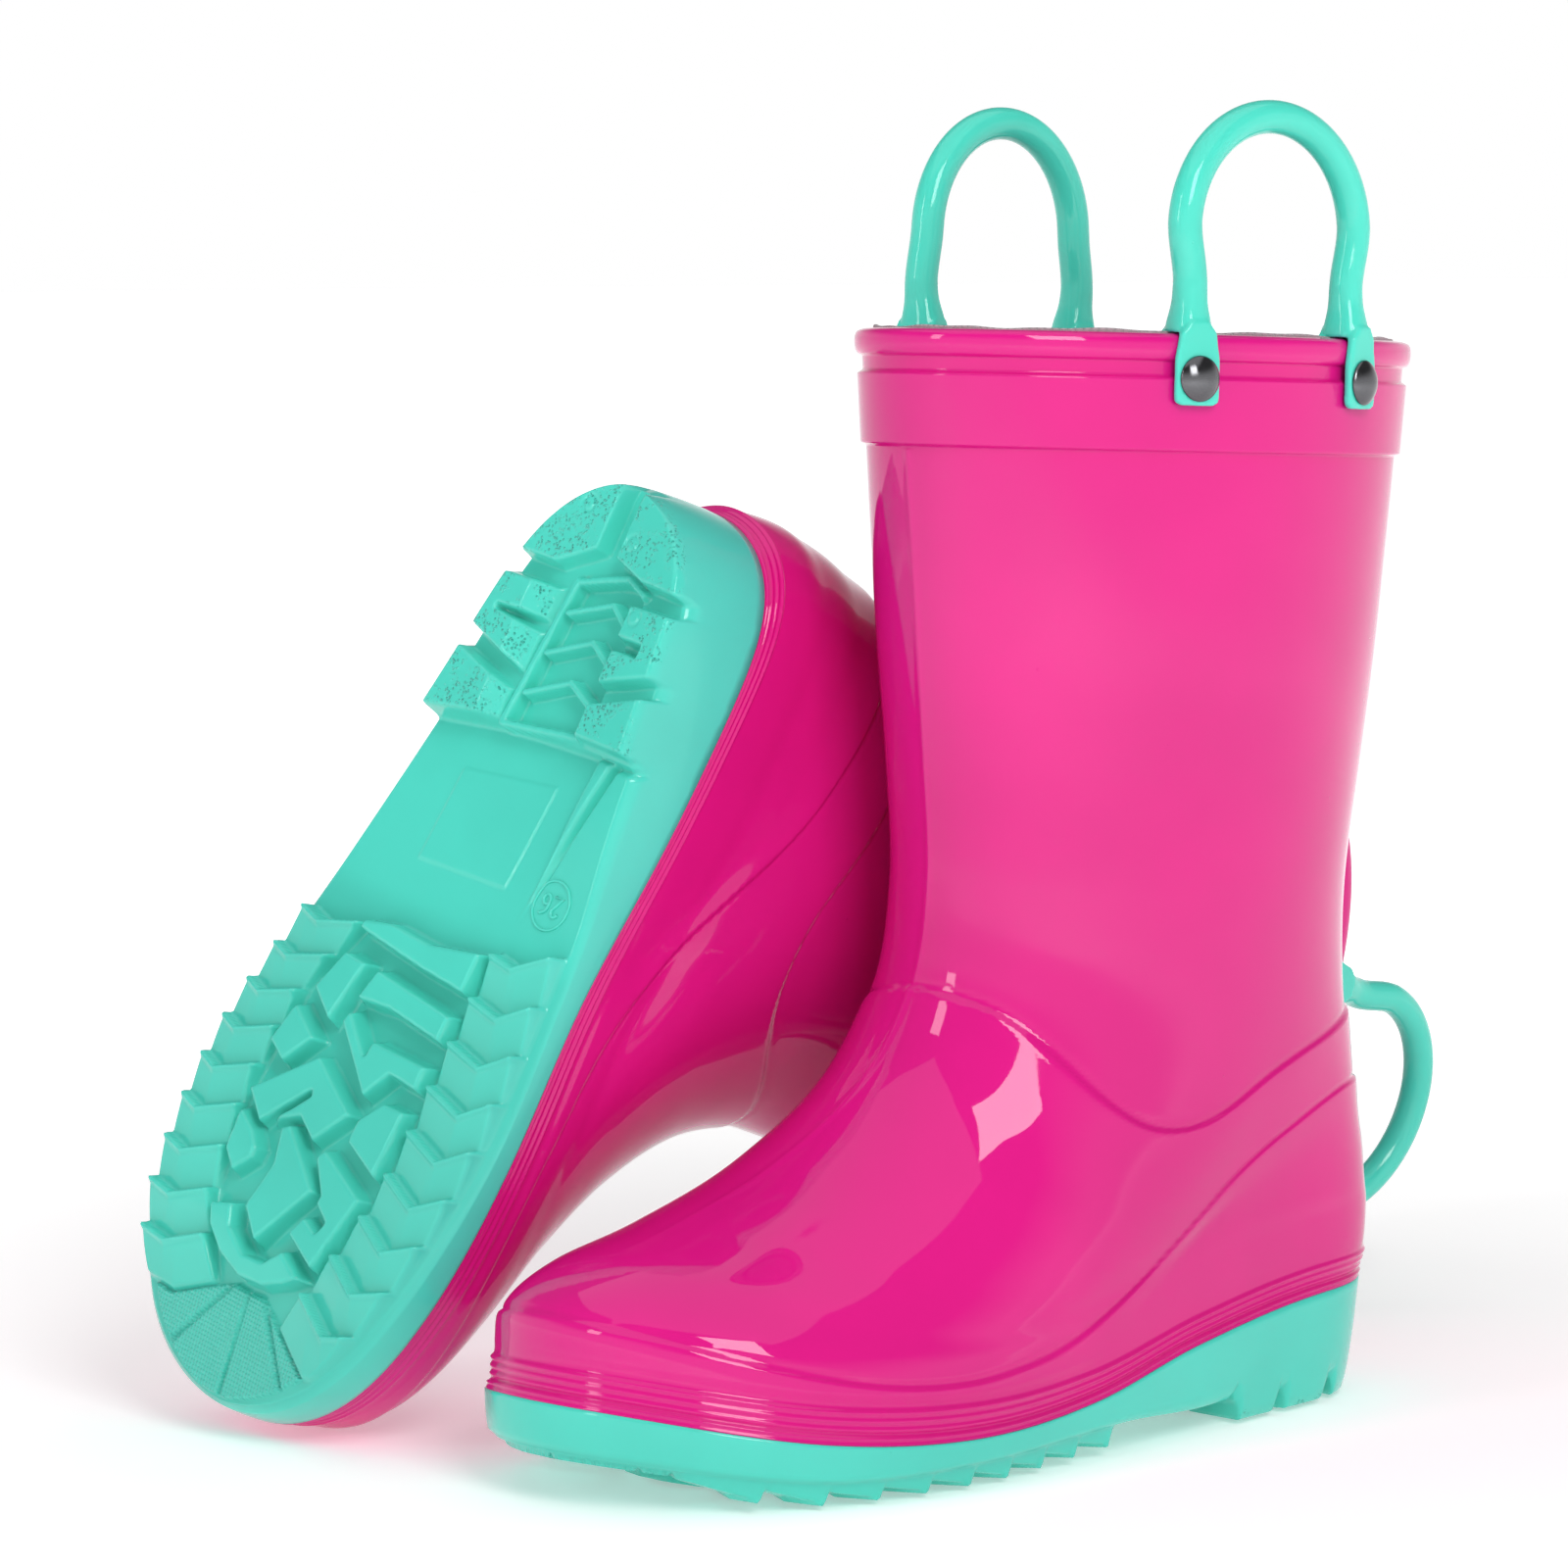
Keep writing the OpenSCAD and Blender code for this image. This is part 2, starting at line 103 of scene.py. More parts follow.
ANKLE_BACK, RIM_BACK = np.array([-1.2, 115.0]), np.array([-13.3, 191.5])
ANKLE_FRONT, RIM_FRONT = np.array([101.0, 121.0]), np.array([106.0, 196.4])
LEG_HALF = [33.5, 35.3, 36, 36.4, 36.6]
LEG_STEPS = len(LEG_HALF) - 1
LEG_PITCH = (RIM_BACK[1] - ANKLE_BACK[1]) / LEG_STEPS

WALL, LINING, INSOLE, GAP = 2.2, 0.8, 3.0, 0.1
CUFF, CUFF_DROP, WELT = 1.0, 20.0, 1.0
BEAD_H, GROOVE_LOW, STEP_W = 4.1, 7.4, 0.5

# Sections where two mould lines cross the skin, at even ring angles from the front to the back
VAMP_LINE = [7.05, 7.0, 6.88, 6.58, 6.2, 5.87, 5.74, 5.93, 6.12, 6.3, 6.45, 6.55, 6.6]
FOXING_LINE = [1.8, 1.72, 1.62, 1.44, 1.3, 1.45, 2.05, 4.1, 4.85, 5.2, 5.28, 5.3, 5.3]

# Handles and rivets, in the rim's own frame: X along it, Y out of the boot, Z up
SPAN, RISE, ROD_R, SHIFT = 40.6, 38.8, 3.0, 2.0
FORK_W, FORK_T, FORK_DROP, FORK_SEAT = 9.0, 1.6, 12.0, 0.6
TAB_OUT = (CUFF + GAP, CUFF + GAP + FORK_T)
TAB_IN = (-(WALL + GAP + LINING) - 0.45 - FORK_T, -(WALL + GAP + LINING) - 0.45)
RIVET_DROP, CAP_R, CAP_RISE, SHANK_R, FLANGE_R, FLANGE_T = 7.3, 4.0, 1.7, 1.5, 3.4, 0.6
FORK_WAIST, TAB_ROUND = 0.75, 1.3
# Height above the rim between which a handle bends, and how far its legs bow outwards
HANDLE_BULGE = {"outer": 1.7, "inner": -1.3}
RIM_SLOPE = math.atan2(RIM_FRONT[1] - RIM_BACK[1], RIM_FRONT[0] - RIM_BACK[0])
RIM_MID = np.array([(RIM_FRONT[0] + RIM_BACK[0]) / 2, 0, (RIM_FRONT[1] + RIM_BACK[1]) / 2])
RIM_A, RIM_B = (RIM_FRONT[0] - RIM_BACK[0]) / 2, LEG_HALF[-1]


def mix(a, b, k):
    return a + (b - a) * k


def ease(lo, hi, v):
    k = np.clip((v - lo) / (hi - lo), 0, 1)
    return k * k * (3 - 2 * k)


def through(values, s):
    """Smooth curve through even steps of a list, at place s, run on straight past its ends."""
    v = np.asarray(values, float)
    s = np.asarray(s, float)
    i = np.clip(np.floor(s), 0, len(v) - 2).astype(int)
    f = s - i
    run = np.concatenate([[2 * v[0] - v[1]], v, [2 * v[-1] - v[-2]]])
    a, b, c, d = run[i], run[i + 1], run[i + 2], run[i + 3]
    if v.ndim > 1:
        f = f[..., None]
    return b + 0.5 * f * (c - a + f * (2 * a - 5 * b + 4 * c - d + f * (3 * (b - c) + d - a)))


def leg_sections():
    rows = []
    for k in range(LEG_STEPS + 1):
        b = mix(ANKLE_BACK, RIM_BACK, k / LEG_STEPS)
        f = mix(ANKLE_FRONT, RIM_FRONT, k / LEG_STEPS)
        rows.append([b[0], b[1], f[0], f[1], 0, LEG_HALF[k], LEG_HALF[k], 0, 0, 3, 0])
    return rows


SECTIONS = np.array(FOOT_SECTIONS + leg_sections(), float)
RIM = len(SECTIONS) - 1


def below_rim(drop):
    return RIM - drop / LEG_PITCH


def toe_bend(u):
    return TOE_SWING * np.clip((u - 0.4) / 0.6, 0, 1) ** 2


def half_width(u, side):
    return np.where(side >= -1e-9, through(OUTER_HALF, 6 * u), through(INNER_HALF, 6 * u))


def feather(u):
    return through(FEATHER_Z, 6 * u)


def base(u):
    return through(BASE_Z, 6 * np.clip(u, 0, 1))


def outward(t, x_at, sign):
    """Unit normal of the front or back line at section t."""
    d = through(SECTIONS, t + 0.05) - through(SECTIONS, np.maximum(t - 0.05, 0))
    n = sign * np.stack([d[..., x_at + 1], -d[..., x_at]], -1)
    n /= np.linalg.norm(n, axis=-1, keepdims=True)
    return np.where((t < 1)[..., None], [sign, 0], n)


def skin(phi, t, off=0.0, lift=0.0):
    """Point of the upper at ring angle phi and section t, moved out by off and up by lift."""
    phi, t, off = np.broadcast_arrays(np.asarray(phi, float), np.asarray(t, float), off)
    s = through(SECTIONS, t)
    u, k = (1 + np.cos(phi)) / 2, np.sin(phi)
    back = s[..., 0:2] + off[..., None] * outward(t, 0, -1)
    front = s[..., 2:4] + off[..., None] * outward(t, 2, 1)
    leg = np.where(k >= 0, s[..., 5], s[..., 6])
    half = s[..., 4] * (half_width(u, k) - s[..., 9]) + (1 - s[..., 4]) * leg + off
    sag = feather(u) - mix(FEATHER_Z[0], FEATHER_Z[6], u)
    x = mix(back[..., 0], front[..., 0], u)
    y = k * half - s[..., 8] * toe_bend(u)
    z = mix(back[..., 1], front[..., 1], u) + s[..., 7] * sag + lift
    return np.stack([x, y, z - s[..., 10] * k * k * ease(0.25, 0.75, u)], -1)


def turn_from(phi, at=0.0):
    """Angle between phi and a ring angle, whichever way round is shorter."""
    return np.abs((phi - at + np.pi) % (2 * np.pi) - np.pi)


def line_distance(values, phi, t, points):
    """Signed distance in millimetres from each grid point up to a mould line on the skin."""
    step = np.pi / (len(values) - 1)
    spot = turn_from(phi) / step
    level = through(values, spot)
    slope = (through(values, spot + 0.05) - level) / (0.05 * step)
    per_t = np.linalg.norm(np.gradient(points, axis=0), axis=-1) / np.gradient(t, axis=0)
    per_phi = np.linalg.norm(np.gradient(points, axis=1), axis=-1) / (phi[0, 1] - phi[0, 0])
    return (t - level) / np.sqrt(1 / per_t**2 + (slope / np.maximum(per_phi, 1e-6)) ** 2)


# ---------------------------------------------------------------- placing and meshing
def place(points, boot):
    """Boot-frame millimetres to metres in the pair's frame."""
    p = np.asarray(points, float).reshape(-1, 3)
    if boot == "right":
        p = (p * (1, -1, 1)) @ LEAN_TURN.T + LEAN_AT
    return (p - PAIR_MID) * MM


def rim_point(x, y, z, side):
    """Point in the rim's frame, on the outer or inner side, to the boot frame."""
    c, s = math.cos(RIM_SLOPE), math.sin(RIM_SLOPE)
    x, y, z = np.broadcast_arrays(*[np.asarray(v, float) for v in (x, y, z)])
    return np.stack([RIM_MID[0] + c * x - s * z, side * y, RIM_MID[2] + s * x + c * z], -1)


def wall_y(dx):
    return RIM_B * math.sqrt(1 - (dx / RIM_A) ** 2)


def wall_turn(dx):
    return math.atan2(dx / RIM_A**2, wall_y(dx) / RIM_B**2)


FRONT, REAR = SHIFT + SPAN / 2, SHIFT - SPAN / 2
HANDLE_Y = (wall_y(FRONT) + wall_y(REAR)) / 2 + (TAB_OUT[1] + TAB_IN[0]) / 2


def fork_point(dx, x, y, z, side):
    """Point at a fork, with Y along the wall's normal from its outer face, to the boot frame."""
    a = -wall_turn(dx)
    return rim_point(
        dx + math.cos(a) * x - math.sin(a) * y, wall_y(dx) + math.sin(a) * x + math.cos(a) * y, z, side
    )


def ring_faces(rows, cols, first=0):
    """Quads between closed rings of cols points, ring after ring."""
    i = np.arange(cols)
    j = (i + 1) % cols
    r = np.arange(rows - 1)[:, None] * cols + first
    return np.stack([r + i, r + j, r + cols + j, r + cols + i], -1).reshape(-1, 4)


def grid_faces(rows, cols, first=0):
    i = np.arange(cols - 1)
    r = np.arange(rows - 1)[:, None] * cols + first
    return np.stack([r + i, r + i + 1, r + cols + i + 1, r + cols + i], -1).reshape(-1, 4)


def strip_cap(n, first):
    """Polygons across a closed ring of n points that is straight from side to side."""
    quads = [[i, i + 1, n - i - 1, n - i] for i in range(1, n // 2 - 1)]
    ends = [[0, 1, n - 1], [n // 2 - 1, n // 2, n // 2 + 1]]
    return [[first + v for v in f] for f in quads + ends]


def piece(name, boot, points, quads, others=(), finish=None, uv=None, marks=None):
    """Smooth closed mesh object from boot-frame points, placed for the left or the right boot."""
    points = np.asarray(points, float).reshape(-1, 3)
    faces = [list(map(int, f)) for f in others]
    mesh = bpy.data.meshes.new(name)
    mesh.from_pydata(place(points, boot).tolist(), [], np.asarray(quads, int).tolist() + faces)
    at = mesh.attributes.new("boot_at", "FLOAT_VECTOR", "POINT")
    at.data.foreach_set("vector", points.astype(np.float32).ravel())
    for key, values in (marks or {}).items():
        layer = mesh.attributes.new(key, "FLOAT", "POINT")
        layer.data.foreach_set("value", np.asarray(values, np.float32).ravel())
    if uv is not None:
        corners = np.zeros(len(mesh.loops), int)
        mesh.loops.foreach_get("vertex_index", corners)
        layer = mesh.uv_layers.new(name="weave")
        layer.data.foreach_set("uv", np.asarray(uv, float).reshape(-1, 2)[corners].ravel())
    work = bmesh.new()
    work.from_mesh(mesh)
    bmesh.ops.recalc_face_normals(work, faces=work.faces)
    work.to_mesh(mesh)
    work.free()
    mesh.shade_smooth()
    obj = bpy.data.objects.new(name, mesh)
    bpy.context.scene.collection.objects.link(obj)
    if finish:
        mesh.materials.append(finish)
    return obj


def tube(path, radii, across, sides=24, closed=False):
    """Points and faces of a round rod along a path. across is a direction off its plane."""
    path = np.asarray(path, float)
    if closed:
        along = np.roll(path, -1, 0) - np.roll(path, 1, 0)
    else:
        along = np.gradient(path, axis=0)
    along /= np.linalg.norm(along, axis=1, keepdims=True)
    side = np.cross(along, np.asarray(across, float))
    side /= np.linalg.norm(side, axis=1, keepdims=True)
    up = np.cross(side, along)
    a = np.linspace(0, 2 * np.pi, sides, endpoint=False)[None, :, None]
    r = np.broadcast_to(np.asarray(radii, float), (len(path),))[:, None, None]
    points = path[:, None] + r * (np.cos(a) * side[:, None] + np.sin(a) * up[:, None])
    quads = ring_faces(len(path), sides)
    if closed:
        last = (len(path) - 1) * sides
        i = np.arange(sides)
        j = (i + 1) % sides
        quads = np.concatenate([quads, np.stack([last + i, last + j, j, i], -1)])
        return points.reshape(-1, 3), quads, []
    last = (len(path) - 1) * sides
    return points.reshape(-1, 3), quads, [list(range(sides))[::-1], list(range(last, last + sides))]


def join_shapes(shapes):
    """One list of points, quads and other faces from several."""
    points, quads, others, start = [], [], [], 0
    for p, q, o in shapes:
        points.append(p)
        quads.append(np.asarray(q, int).reshape(-1, 4) + start)
        others += [[start + v for v in f] for f in o]
        start += len(p)
    return np.concatenate(points), np.concatenate(quads), others


# ---------------------------------------------------------------- materials
class Shader:
    """Short way to build one material's nodes."""

    def __init__(self, name):
        self.mat = bpy.data.materials.new(f"{name}_finish")
        self.mat.use_nodes = True
        self.nodes = self.mat.node_tree.nodes
        self.links = self.mat.node_tree.links
        self.main = self.nodes["Principled BSDF"]

    def add(self, kind, inputs=None, **settings):
        node = self.nodes.new(kind)
        for key, value in settings.items():
            setattr(node, key, value)
        for key, value in (inputs or {}).items():
            self.put(node, key, value)
        return node

    def put(self, node, key, value):
        if isinstance(value, bpy.types.NodeSocket):
            self.links.new(value, node.inputs[key])
        else:
            node.inputs[key].default_value = value

    def set(self, **values):
        for key, value in values.items():
            self.put(self.main, key.replace("_", " "), value)

    def math(self, kind, a, b=0.0):
        return self.add("ShaderNodeMath", {0: a, 1: b}, operation=kind).outputs[0]

    def place(self):
        return self.add("ShaderNodeAttribute", attribute_name="boot_at").outputs["Vector"]

    def mark(self, name):
        return self.add("ShaderNodeAttribute", attribute_name=name).outputs["Fac"]

    def noise(self, at, scale, detail=2.0, rough=0.5):
        inputs = {"Vector": at, "Scale": scale, "Detail": detail, "Roughness": rough}
        return self.add("ShaderNodeTexNoise", inputs).outputs["Fac"]

    def blend(self, factor, low, high):
        node = self.add("ShaderNodeMix", data_type="RGBA")
        self.put(node, 0, factor)
        self.put(node, 6, low)
        self.put(node, 7, high)
        return node.outputs[2]

    def ramp(self, value, lo, hi, out_lo=0.0, out_hi=1.0):
        inputs = {0: value, 1: lo, 2: hi, 3: out_lo, 4: out_hi}
        return self.add("ShaderNodeMapRange", inputs).outputs[0]

    def bump(self, height, distance, strength=1.0, under=None):
        inputs = {"Height": height, "Distance": distance, "Strength": strength}
        node = self.add("ShaderNodeBump", inputs)
        if under is not None:
            self.put(node, "Normal", under)
        return node.outputs[0]


def shade(color, k):
    return (color[0] * k, color[1] * k, color[2] * k, 1.0)


def pvc_material(name, color, dark, gloss, scatter):
    """Moulded soft PVC: slow colour drift, faint flow ripple, rubbed haze and dust specks."""
    m = Shader(name)
    at = m.place()
    drift = m.noise(at, 0.018, 3.0)
    m.put(m.main, "Base Color", m.blend(m.ramp(drift, 0.35, 0.65), dark, color))
    haze = m.noise(at, 0.06, 4.0, 0.6)
    m.put(m.main, "Roughness", m.ramp(haze, 0.35, 0.7, gloss, gloss + 0.05))
    ripple = m.bump(m.noise(at, 0.035, 1.0), 0.0004, 0.2)
    grain = m.bump(m.noise(at, 0.5, 1.0), 0.00002, 0.15, ripple)
    cells = m.add("ShaderNodeTexVoronoi", {"Vector": at, "Scale": 0.16}, feature="F1").outputs["Distance"]
    specks = m.math("MULTIPLY", m.ramp(cells, 0.0, 0.05, 1.0, 0.0), m.ramp(haze, 0.5, 0.6))
    m.put(m.main, "Normal", m.bump(specks, 0.00012, 0.8, grain))
    m.set(IOR=1.43)
    m.put(m.main, "Subsurface Weight", scatter)
    m.put(m.main, "Subsurface Scale", 0.4)
    m.put(m.main, "Subsurface Radius", (0.004, 0.003, 0.003))
    return m


def pink_pvc(colours):
    return pvc_material("pink_pvc", (*colours.pink, 1), shade(colours.pink, 0.9), 0.02, 0.0).mat


def sole_pvc(colours):
    """The sole's PVC: stippled heel faces, a dotted toe field, and painted shade that darkens its low places.
    """
    m = pvc_material("turquoise_sole", (*colours.turquoise, 1), shade(colours.turquoise, 0.88), 0.1, 0.15)
    at = m.place()
    speck = m.add("ShaderNodeTexVoronoi", {"Vector": at, "Scale": 1.5}, feature="F1").outputs["Distance"]
    grit = m.math("MULTIPLY", m.ramp(speck, 0.0, 0.4, 1.0, 0.0), m.ramp(m.noise(at, 0.16), 0.42, 0.56))
    stipple = m.math("MULTIPLY", grit, m.mark("stipple"))
    dots = m.add("ShaderNodeTexVoronoi", {"Vector": at, "Scale": 1.25, "Randomness": 0.1}, feature="F1",
                 voronoi_dimensions="2D")
    field = m.math("MULTIPLY", m.ramp(dots.outputs["Distance"], 0.1, 0.5, 0.35, 0.0), m.mark("dotted"))
    under = m.main.inputs["Normal"].links[0].from_socket
    grain = m.bump(m.math("ADD", stipple, field), 0.0006, 1.0, under)
    m.put(m.main, "Normal", grain)
    # Painted shade: the tread's recesses, where the floor mark is high, are darkened to 0.8 of the sole
    # colour.
    low = m.blend(m.mark("floor"), m.main.inputs["Base Color"].links[0].from_socket,
                  shade(colours.turquoise, 0.8))
    m.put(m.main, "Base Color", low)
    return m.mat


def handle_pvc(colours):
    return pvc_material(
        "turquoise_handle", (*colours.handle, 1), shade(colours.handle, 0.9), 0.08, 0.15).mat


def knit_cloth(colours):
    """Fine single jersey: columns of leaning stitches, in rows, with painted shade in the stitches' low
    places.
    """
    m = Shader("knit_lining")
    uv = m.add("ShaderNodeUVMap", uv_map="weave").outputs[0]
    split = m.add("ShaderNodeSeparateXYZ", {0: uv})
    wale, course = split.outputs[0], split.outputs[1]
    column = m.math("ABSOLUTE", m.math("SUBTRACT", m.math("FRACT", m.math("MULTIPLY", wale, 0.8)), 0.5))
    leaning = m.math("ADD", m.math("MULTIPLY", course, 1.1), m.math("MULTIPLY", column, 1.2))
    loop = m.math("ABSOLUTE", m.math("SUBTRACT", m.math("FRACT", leaning), 0.5))
    rib = m.math("MULTIPLY", column, -1.4)
    height = m.math("ADD", loop, rib)
    fuzz = m.noise(m.place(), 2.5, 3.0)
    # Painted shade: the colour darkens to 0.55 of the lining colour where the stitch height is low.
    m.put(m.main, "Base Color", m.blend(m.ramp(height, -0.6, 0.5), shade(colours.knit, 0.55),
                                        (*colours.knit, 1)))
    m.put(m.main, "Normal", m.bump(m.math("ADD", height, m.math("MULTIPLY", fuzz, 0.3)), 0.0004, 0.9))
    m.set(Roughness=0.9)
    m.put(m.main, "Sheen Weight", 0.4)
    m.put(m.main, "Sheen Roughness", 0.5)
    return m.mat


def felt_cloth(colours):
    """Needled felt: crossing fibres and small pits."""
    m = Shader("insole_felt")
    at = m.place()
    fibre = m.noise(m.add("ShaderNodeMapping", {"Vector": at, "Scale": (0.6, 4.0, 1.0)}).outputs[0], 1.2, 5)
    pits = m.add("ShaderNodeTexVoronoi", {"Vector": at, "Scale": 0.8}).outputs["Distance"]
    worn = m.ramp(m.noise(at, 0.03), 0.4, 0.6)
    m.put(m.main, "Base Color", m.blend(worn, shade(colours.felt, 0.82), (*colours.felt, 1)))
    m.put(m.main, "Normal", m.bump(m.math("ADD", fibre, pits), 0.0003, 0.7))
    m.set(Roughness=0.95)
    m.put(m.main, "Sheen Weight", 0.3)
    return m.mat


def rivet_metal(colours):
    """Dark nickel plate: a turned polish with hairline scratches and patchy roughness."""
    m = Shader("rivet_metal")
    at = m.place()
    hair = m.noise(m.add("ShaderNodeMapping", {"Vector": at, "Scale": (1.0, 1.0, 14.0)}).outputs[0], 2.5, 4)
    m.put(m.main, "Base Color", m.blend(m.ramp(hair, 0.4, 0.6), shade(colours.metal, 0.75),
                                        (*colours.metal, 1)))
    m.put(m.main, "Roughness", m.ramp(m.noise(at, 0.9, 4), 0.3, 0.7, 0.06, 0.2))
    m.put(m.main, "Normal", m.bump(hair, 0.00002, 0.4))
    m.set(Metallic=1.0)
    return m.mat


MAKERS = {
    "pink_pvc": pink_pvc, "turquoise_sole": sole_pvc, "turquoise_handle": handle_pvc,
    "knit_lining": knit_cloth, "insole_felt": felt_cloth, "rivet_metal": rivet_metal,
}


def material(slot):
    """The finish of a record slot, made at its first use."""
    made = bpy.data.materials.get(f"{slot}_finish")
    return made or MAKERS[slot](bpy.context.scene.boot_colours)


def hand_over(obj, boot, slot, *nodes):
    """Gives a finished piece its body and hides the frame nodes that it stands for. The slot is not used."""
    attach(obj, f"{boot}_boot")
    if nodes:
        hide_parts(*nodes)


# ---------------------------------------------------------------- upper
# Points round each ring, and the leg's mean radius, for widths measured round it
RING, LEG_R = 384, 36


def even_sections(lo, hi, step):
    """Sections from lo to hi, spaced so that no stretch of the front line is longer than step."""
    t = np.linspace(lo, hi, 400)
    runs = [np.linalg.norm(np.diff(skin(a, t), axis=0), axis=1) for a in (0, np.pi / 2, np.pi)]
    travel = np.concatenate([[0], np.cumsum(np.max(runs, axis=0))])
    return np.interp(np.linspace(0, travel[-1], int(travel[-1] / step) + 2), travel, t)


def upper_relief(phi, t, sizes):
    """How far the outer skin stands out at each grid point: welt, mould lines, cuff and rim bead."""
    flat = skin(phi, t)
    u = (1 + np.cos(phi)) / 2
    rise = (flat[..., 2] - feather(u)) / mix(0.85, 1.0, ease(0.3, 0.8, u))
    rise = np.where(t < 2.5, rise, 99)
    off = (WELT + 0.15) * (1 - ease(1.25, 1.75, rise)) - 0.3 * np.exp(-((rise - 0.75) / 0.3) ** 2)
    for middle in (2.6, 4.0, 5.4):
        off += sizes.welt_ridge * np.exp(-((rise - middle) / 0.45) ** 2)
    off += 0.25 * (1 - ease(5.6, 6.3, rise)) * ease(1.3, 1.8, rise)
    vamp = line_distance(VAMP_LINE, phi, t, flat)
    off += sizes.vamp_step * (1 - ease(-0.4, 0.5, vamp)) * ease(-16, -0.5, vamp)
    off -= 0.2 * np.exp(-((vamp - 0.8) / 0.6) ** 2)
    fox = line_distance(FOXING_LINE, phi, t, flat)
    off += sizes.foxing_step * (1 - ease(-0.5, 0.5, fox)) * ease(-9, -0.5, fox) * ease(6.5, 8.5, rise)
    off -= 0.2 * np.exp(-((fox - 0.6) / 0.5) ** 2) * ease(6.5, 8.5, rise)
    drop = (RIM - t) * LEG_PITCH
    band = ease(GROOVE_LOW - STEP_W, GROOVE_LOW, drop) * (1 - ease(CUFF_DROP - 0.1, CUFF_DROP + 0.35, drop))
    off += CUFF * band
    bead = np.clip(1 - ((drop - BEAD_H / 2) / (BEAD_H / 2 + 0.2)) ** 2, 0, 1) ** 0.35
    off += (CUFF + 0.3) * np.where(drop < BEAD_H + 0.2, bead, 0)
    seam = sum(np.exp(-(turn_from(phi, at) * LEG_R / 0.75) ** 2) for at in (0, np.pi))
    off += sizes.mould_line * seam * ease(3, 5, t) * (1 - ease(below_rim(21), below_rim(20.5), t))
    return off


def build_upper(boot, sizes):
    t = np.unique(np.concatenate([
        even_sections(0, 1.45, 0.26), even_sections(1.45, below_rim(21.5), 0.8),
        even_sections(below_rim(21.5), RIM, 0.28)]))
    phi = np.arange(RING) * 2 * np.pi / RING
    angle, level = np.meshgrid(phi, t)
    outer = skin(angle, level, upper_relief(angle, level, sizes))
    top_off = np.linspace(0.2, -WALL + 0.3, 6)
    lip = [skin(phi, RIM, o, 0.35 * math.sqrt(max(0, 1 - ((o + 0.9) / 1.4) ** 2))) for o in top_off]
    inner_t = [RIM - 0.02, 12, 11, 10, 9, 8, 7, 6.5, 6, 5.5, 5, 4.5, 4, 3.5, 3, 2.5, 2, 1.5, 1]
    inner = [skin(phi, s, -WALL) for s in inner_t] + [skin(phi, 0, -WALL, WALL)]
    rings = np.concatenate([outer, np.array(lip), np.array(inner)])
    count = len(rings)
    caps = strip_cap(RING, 0) + strip_cap(RING, (count - 1) * RING)
    obj = piece(f"{boot}_upper_shell", boot, rings, ring_faces(count, RING), caps, material("pink_pvc"))
    hand_over(obj, boot, "pink_pvc", f"{boot}_upper")


# ---------------------------------------------------------------- lining and insole
def build_lining(boot):
    n = 192
    phi = np.arange(n) * 2 * np.pi / n
    far, near = WALL + GAP, WALL + GAP + LINING
    t = even_sections(1, RIM, 2.0)
    edge = 0.45 + 0.15 * np.sin(9 * phi) + 0.1 * np.sin(23 * phi)
    rings = [skin(phi, 0, -far, far)] + [skin(phi, s, -far) for s in t]
    rings += [skin(phi, RIM, -off, lift) for off, lift in (
        (far, edge), (far + 0.2, edge + 0.15), (near - 0.2, edge + 0.15), (near, edge))]
    rings += [skin(phi, s, -near) for s in t[::-1]] + [skin(phi, 0, -near, near)]
    rings = np.array(rings)
    rows = np.concatenate([[0], np.cumsum(np.linalg.norm(np.diff(rings[:, n // 4], axis=0), axis=1))])
    uv = np.stack(np.meshgrid(np.minimum(phi, 2 * np.pi - phi) * 42, rows), -1)
    caps = strip_cap(n, 0) + strip_cap(n, (len(rings) - 1) * n)
    obj = piece(f"{boot}_lining_sock", boot, rings, ring_faces(len(rings), n), caps,
                material("knit_lining"), uv=uv)
    hand_over(obj, boot, "knit_lining", f"{boot}_lining")


def sole_rows(inset, step, ends=6.0, end_rows=26):
    """Places along the sole, close together where its two ends turn."""
    lo, hi = inset + 0.01, LENGTH - inset - 0.01
    tip = ends * (1 - np.cos(np.arange(end_rows) / end_rows * np.pi / 2))
    return np.concatenate([lo + tip, np.linspace(lo + ends, hi - ends, int((hi - lo) / step)),
                           hi - tip[::-1]])


def sole_grid(inset, step, cols):
    """Grid over the sole's plan, with its along-share u."""
    x = sole_rows(inset, step)
    c = np.clip((x - LENGTH / 2) / (LENGTH / 2 - inset), -1, 1)
    u, s = (1 + c) / 2, np.sqrt(1 - c * c)
    out = s * (half_width(u, 1) - inset) - toe_bend(u)
    inn = -s * (half_width(u, -1) - inset) - toe_bend(u)
    v = np.linspace(0, 1, cols)[None]
    y = mix(inn[:, None], out[:, None], v)
    return np.broadcast_to(x[:, None], y.shape), y, np.broadcast_to(u[:, None], y.shape)


def edge_loop(rows, cols):
    """Indices round the edge of a grid."""
    left = np.arange(rows) * cols
    last = (rows - 1) * cols + np.arange(1, cols)
    right = np.arange(rows - 2, -1, -1) * cols + cols - 1
    return np.concatenate([left, last, right, np.arange(cols - 2, 0, -1)])


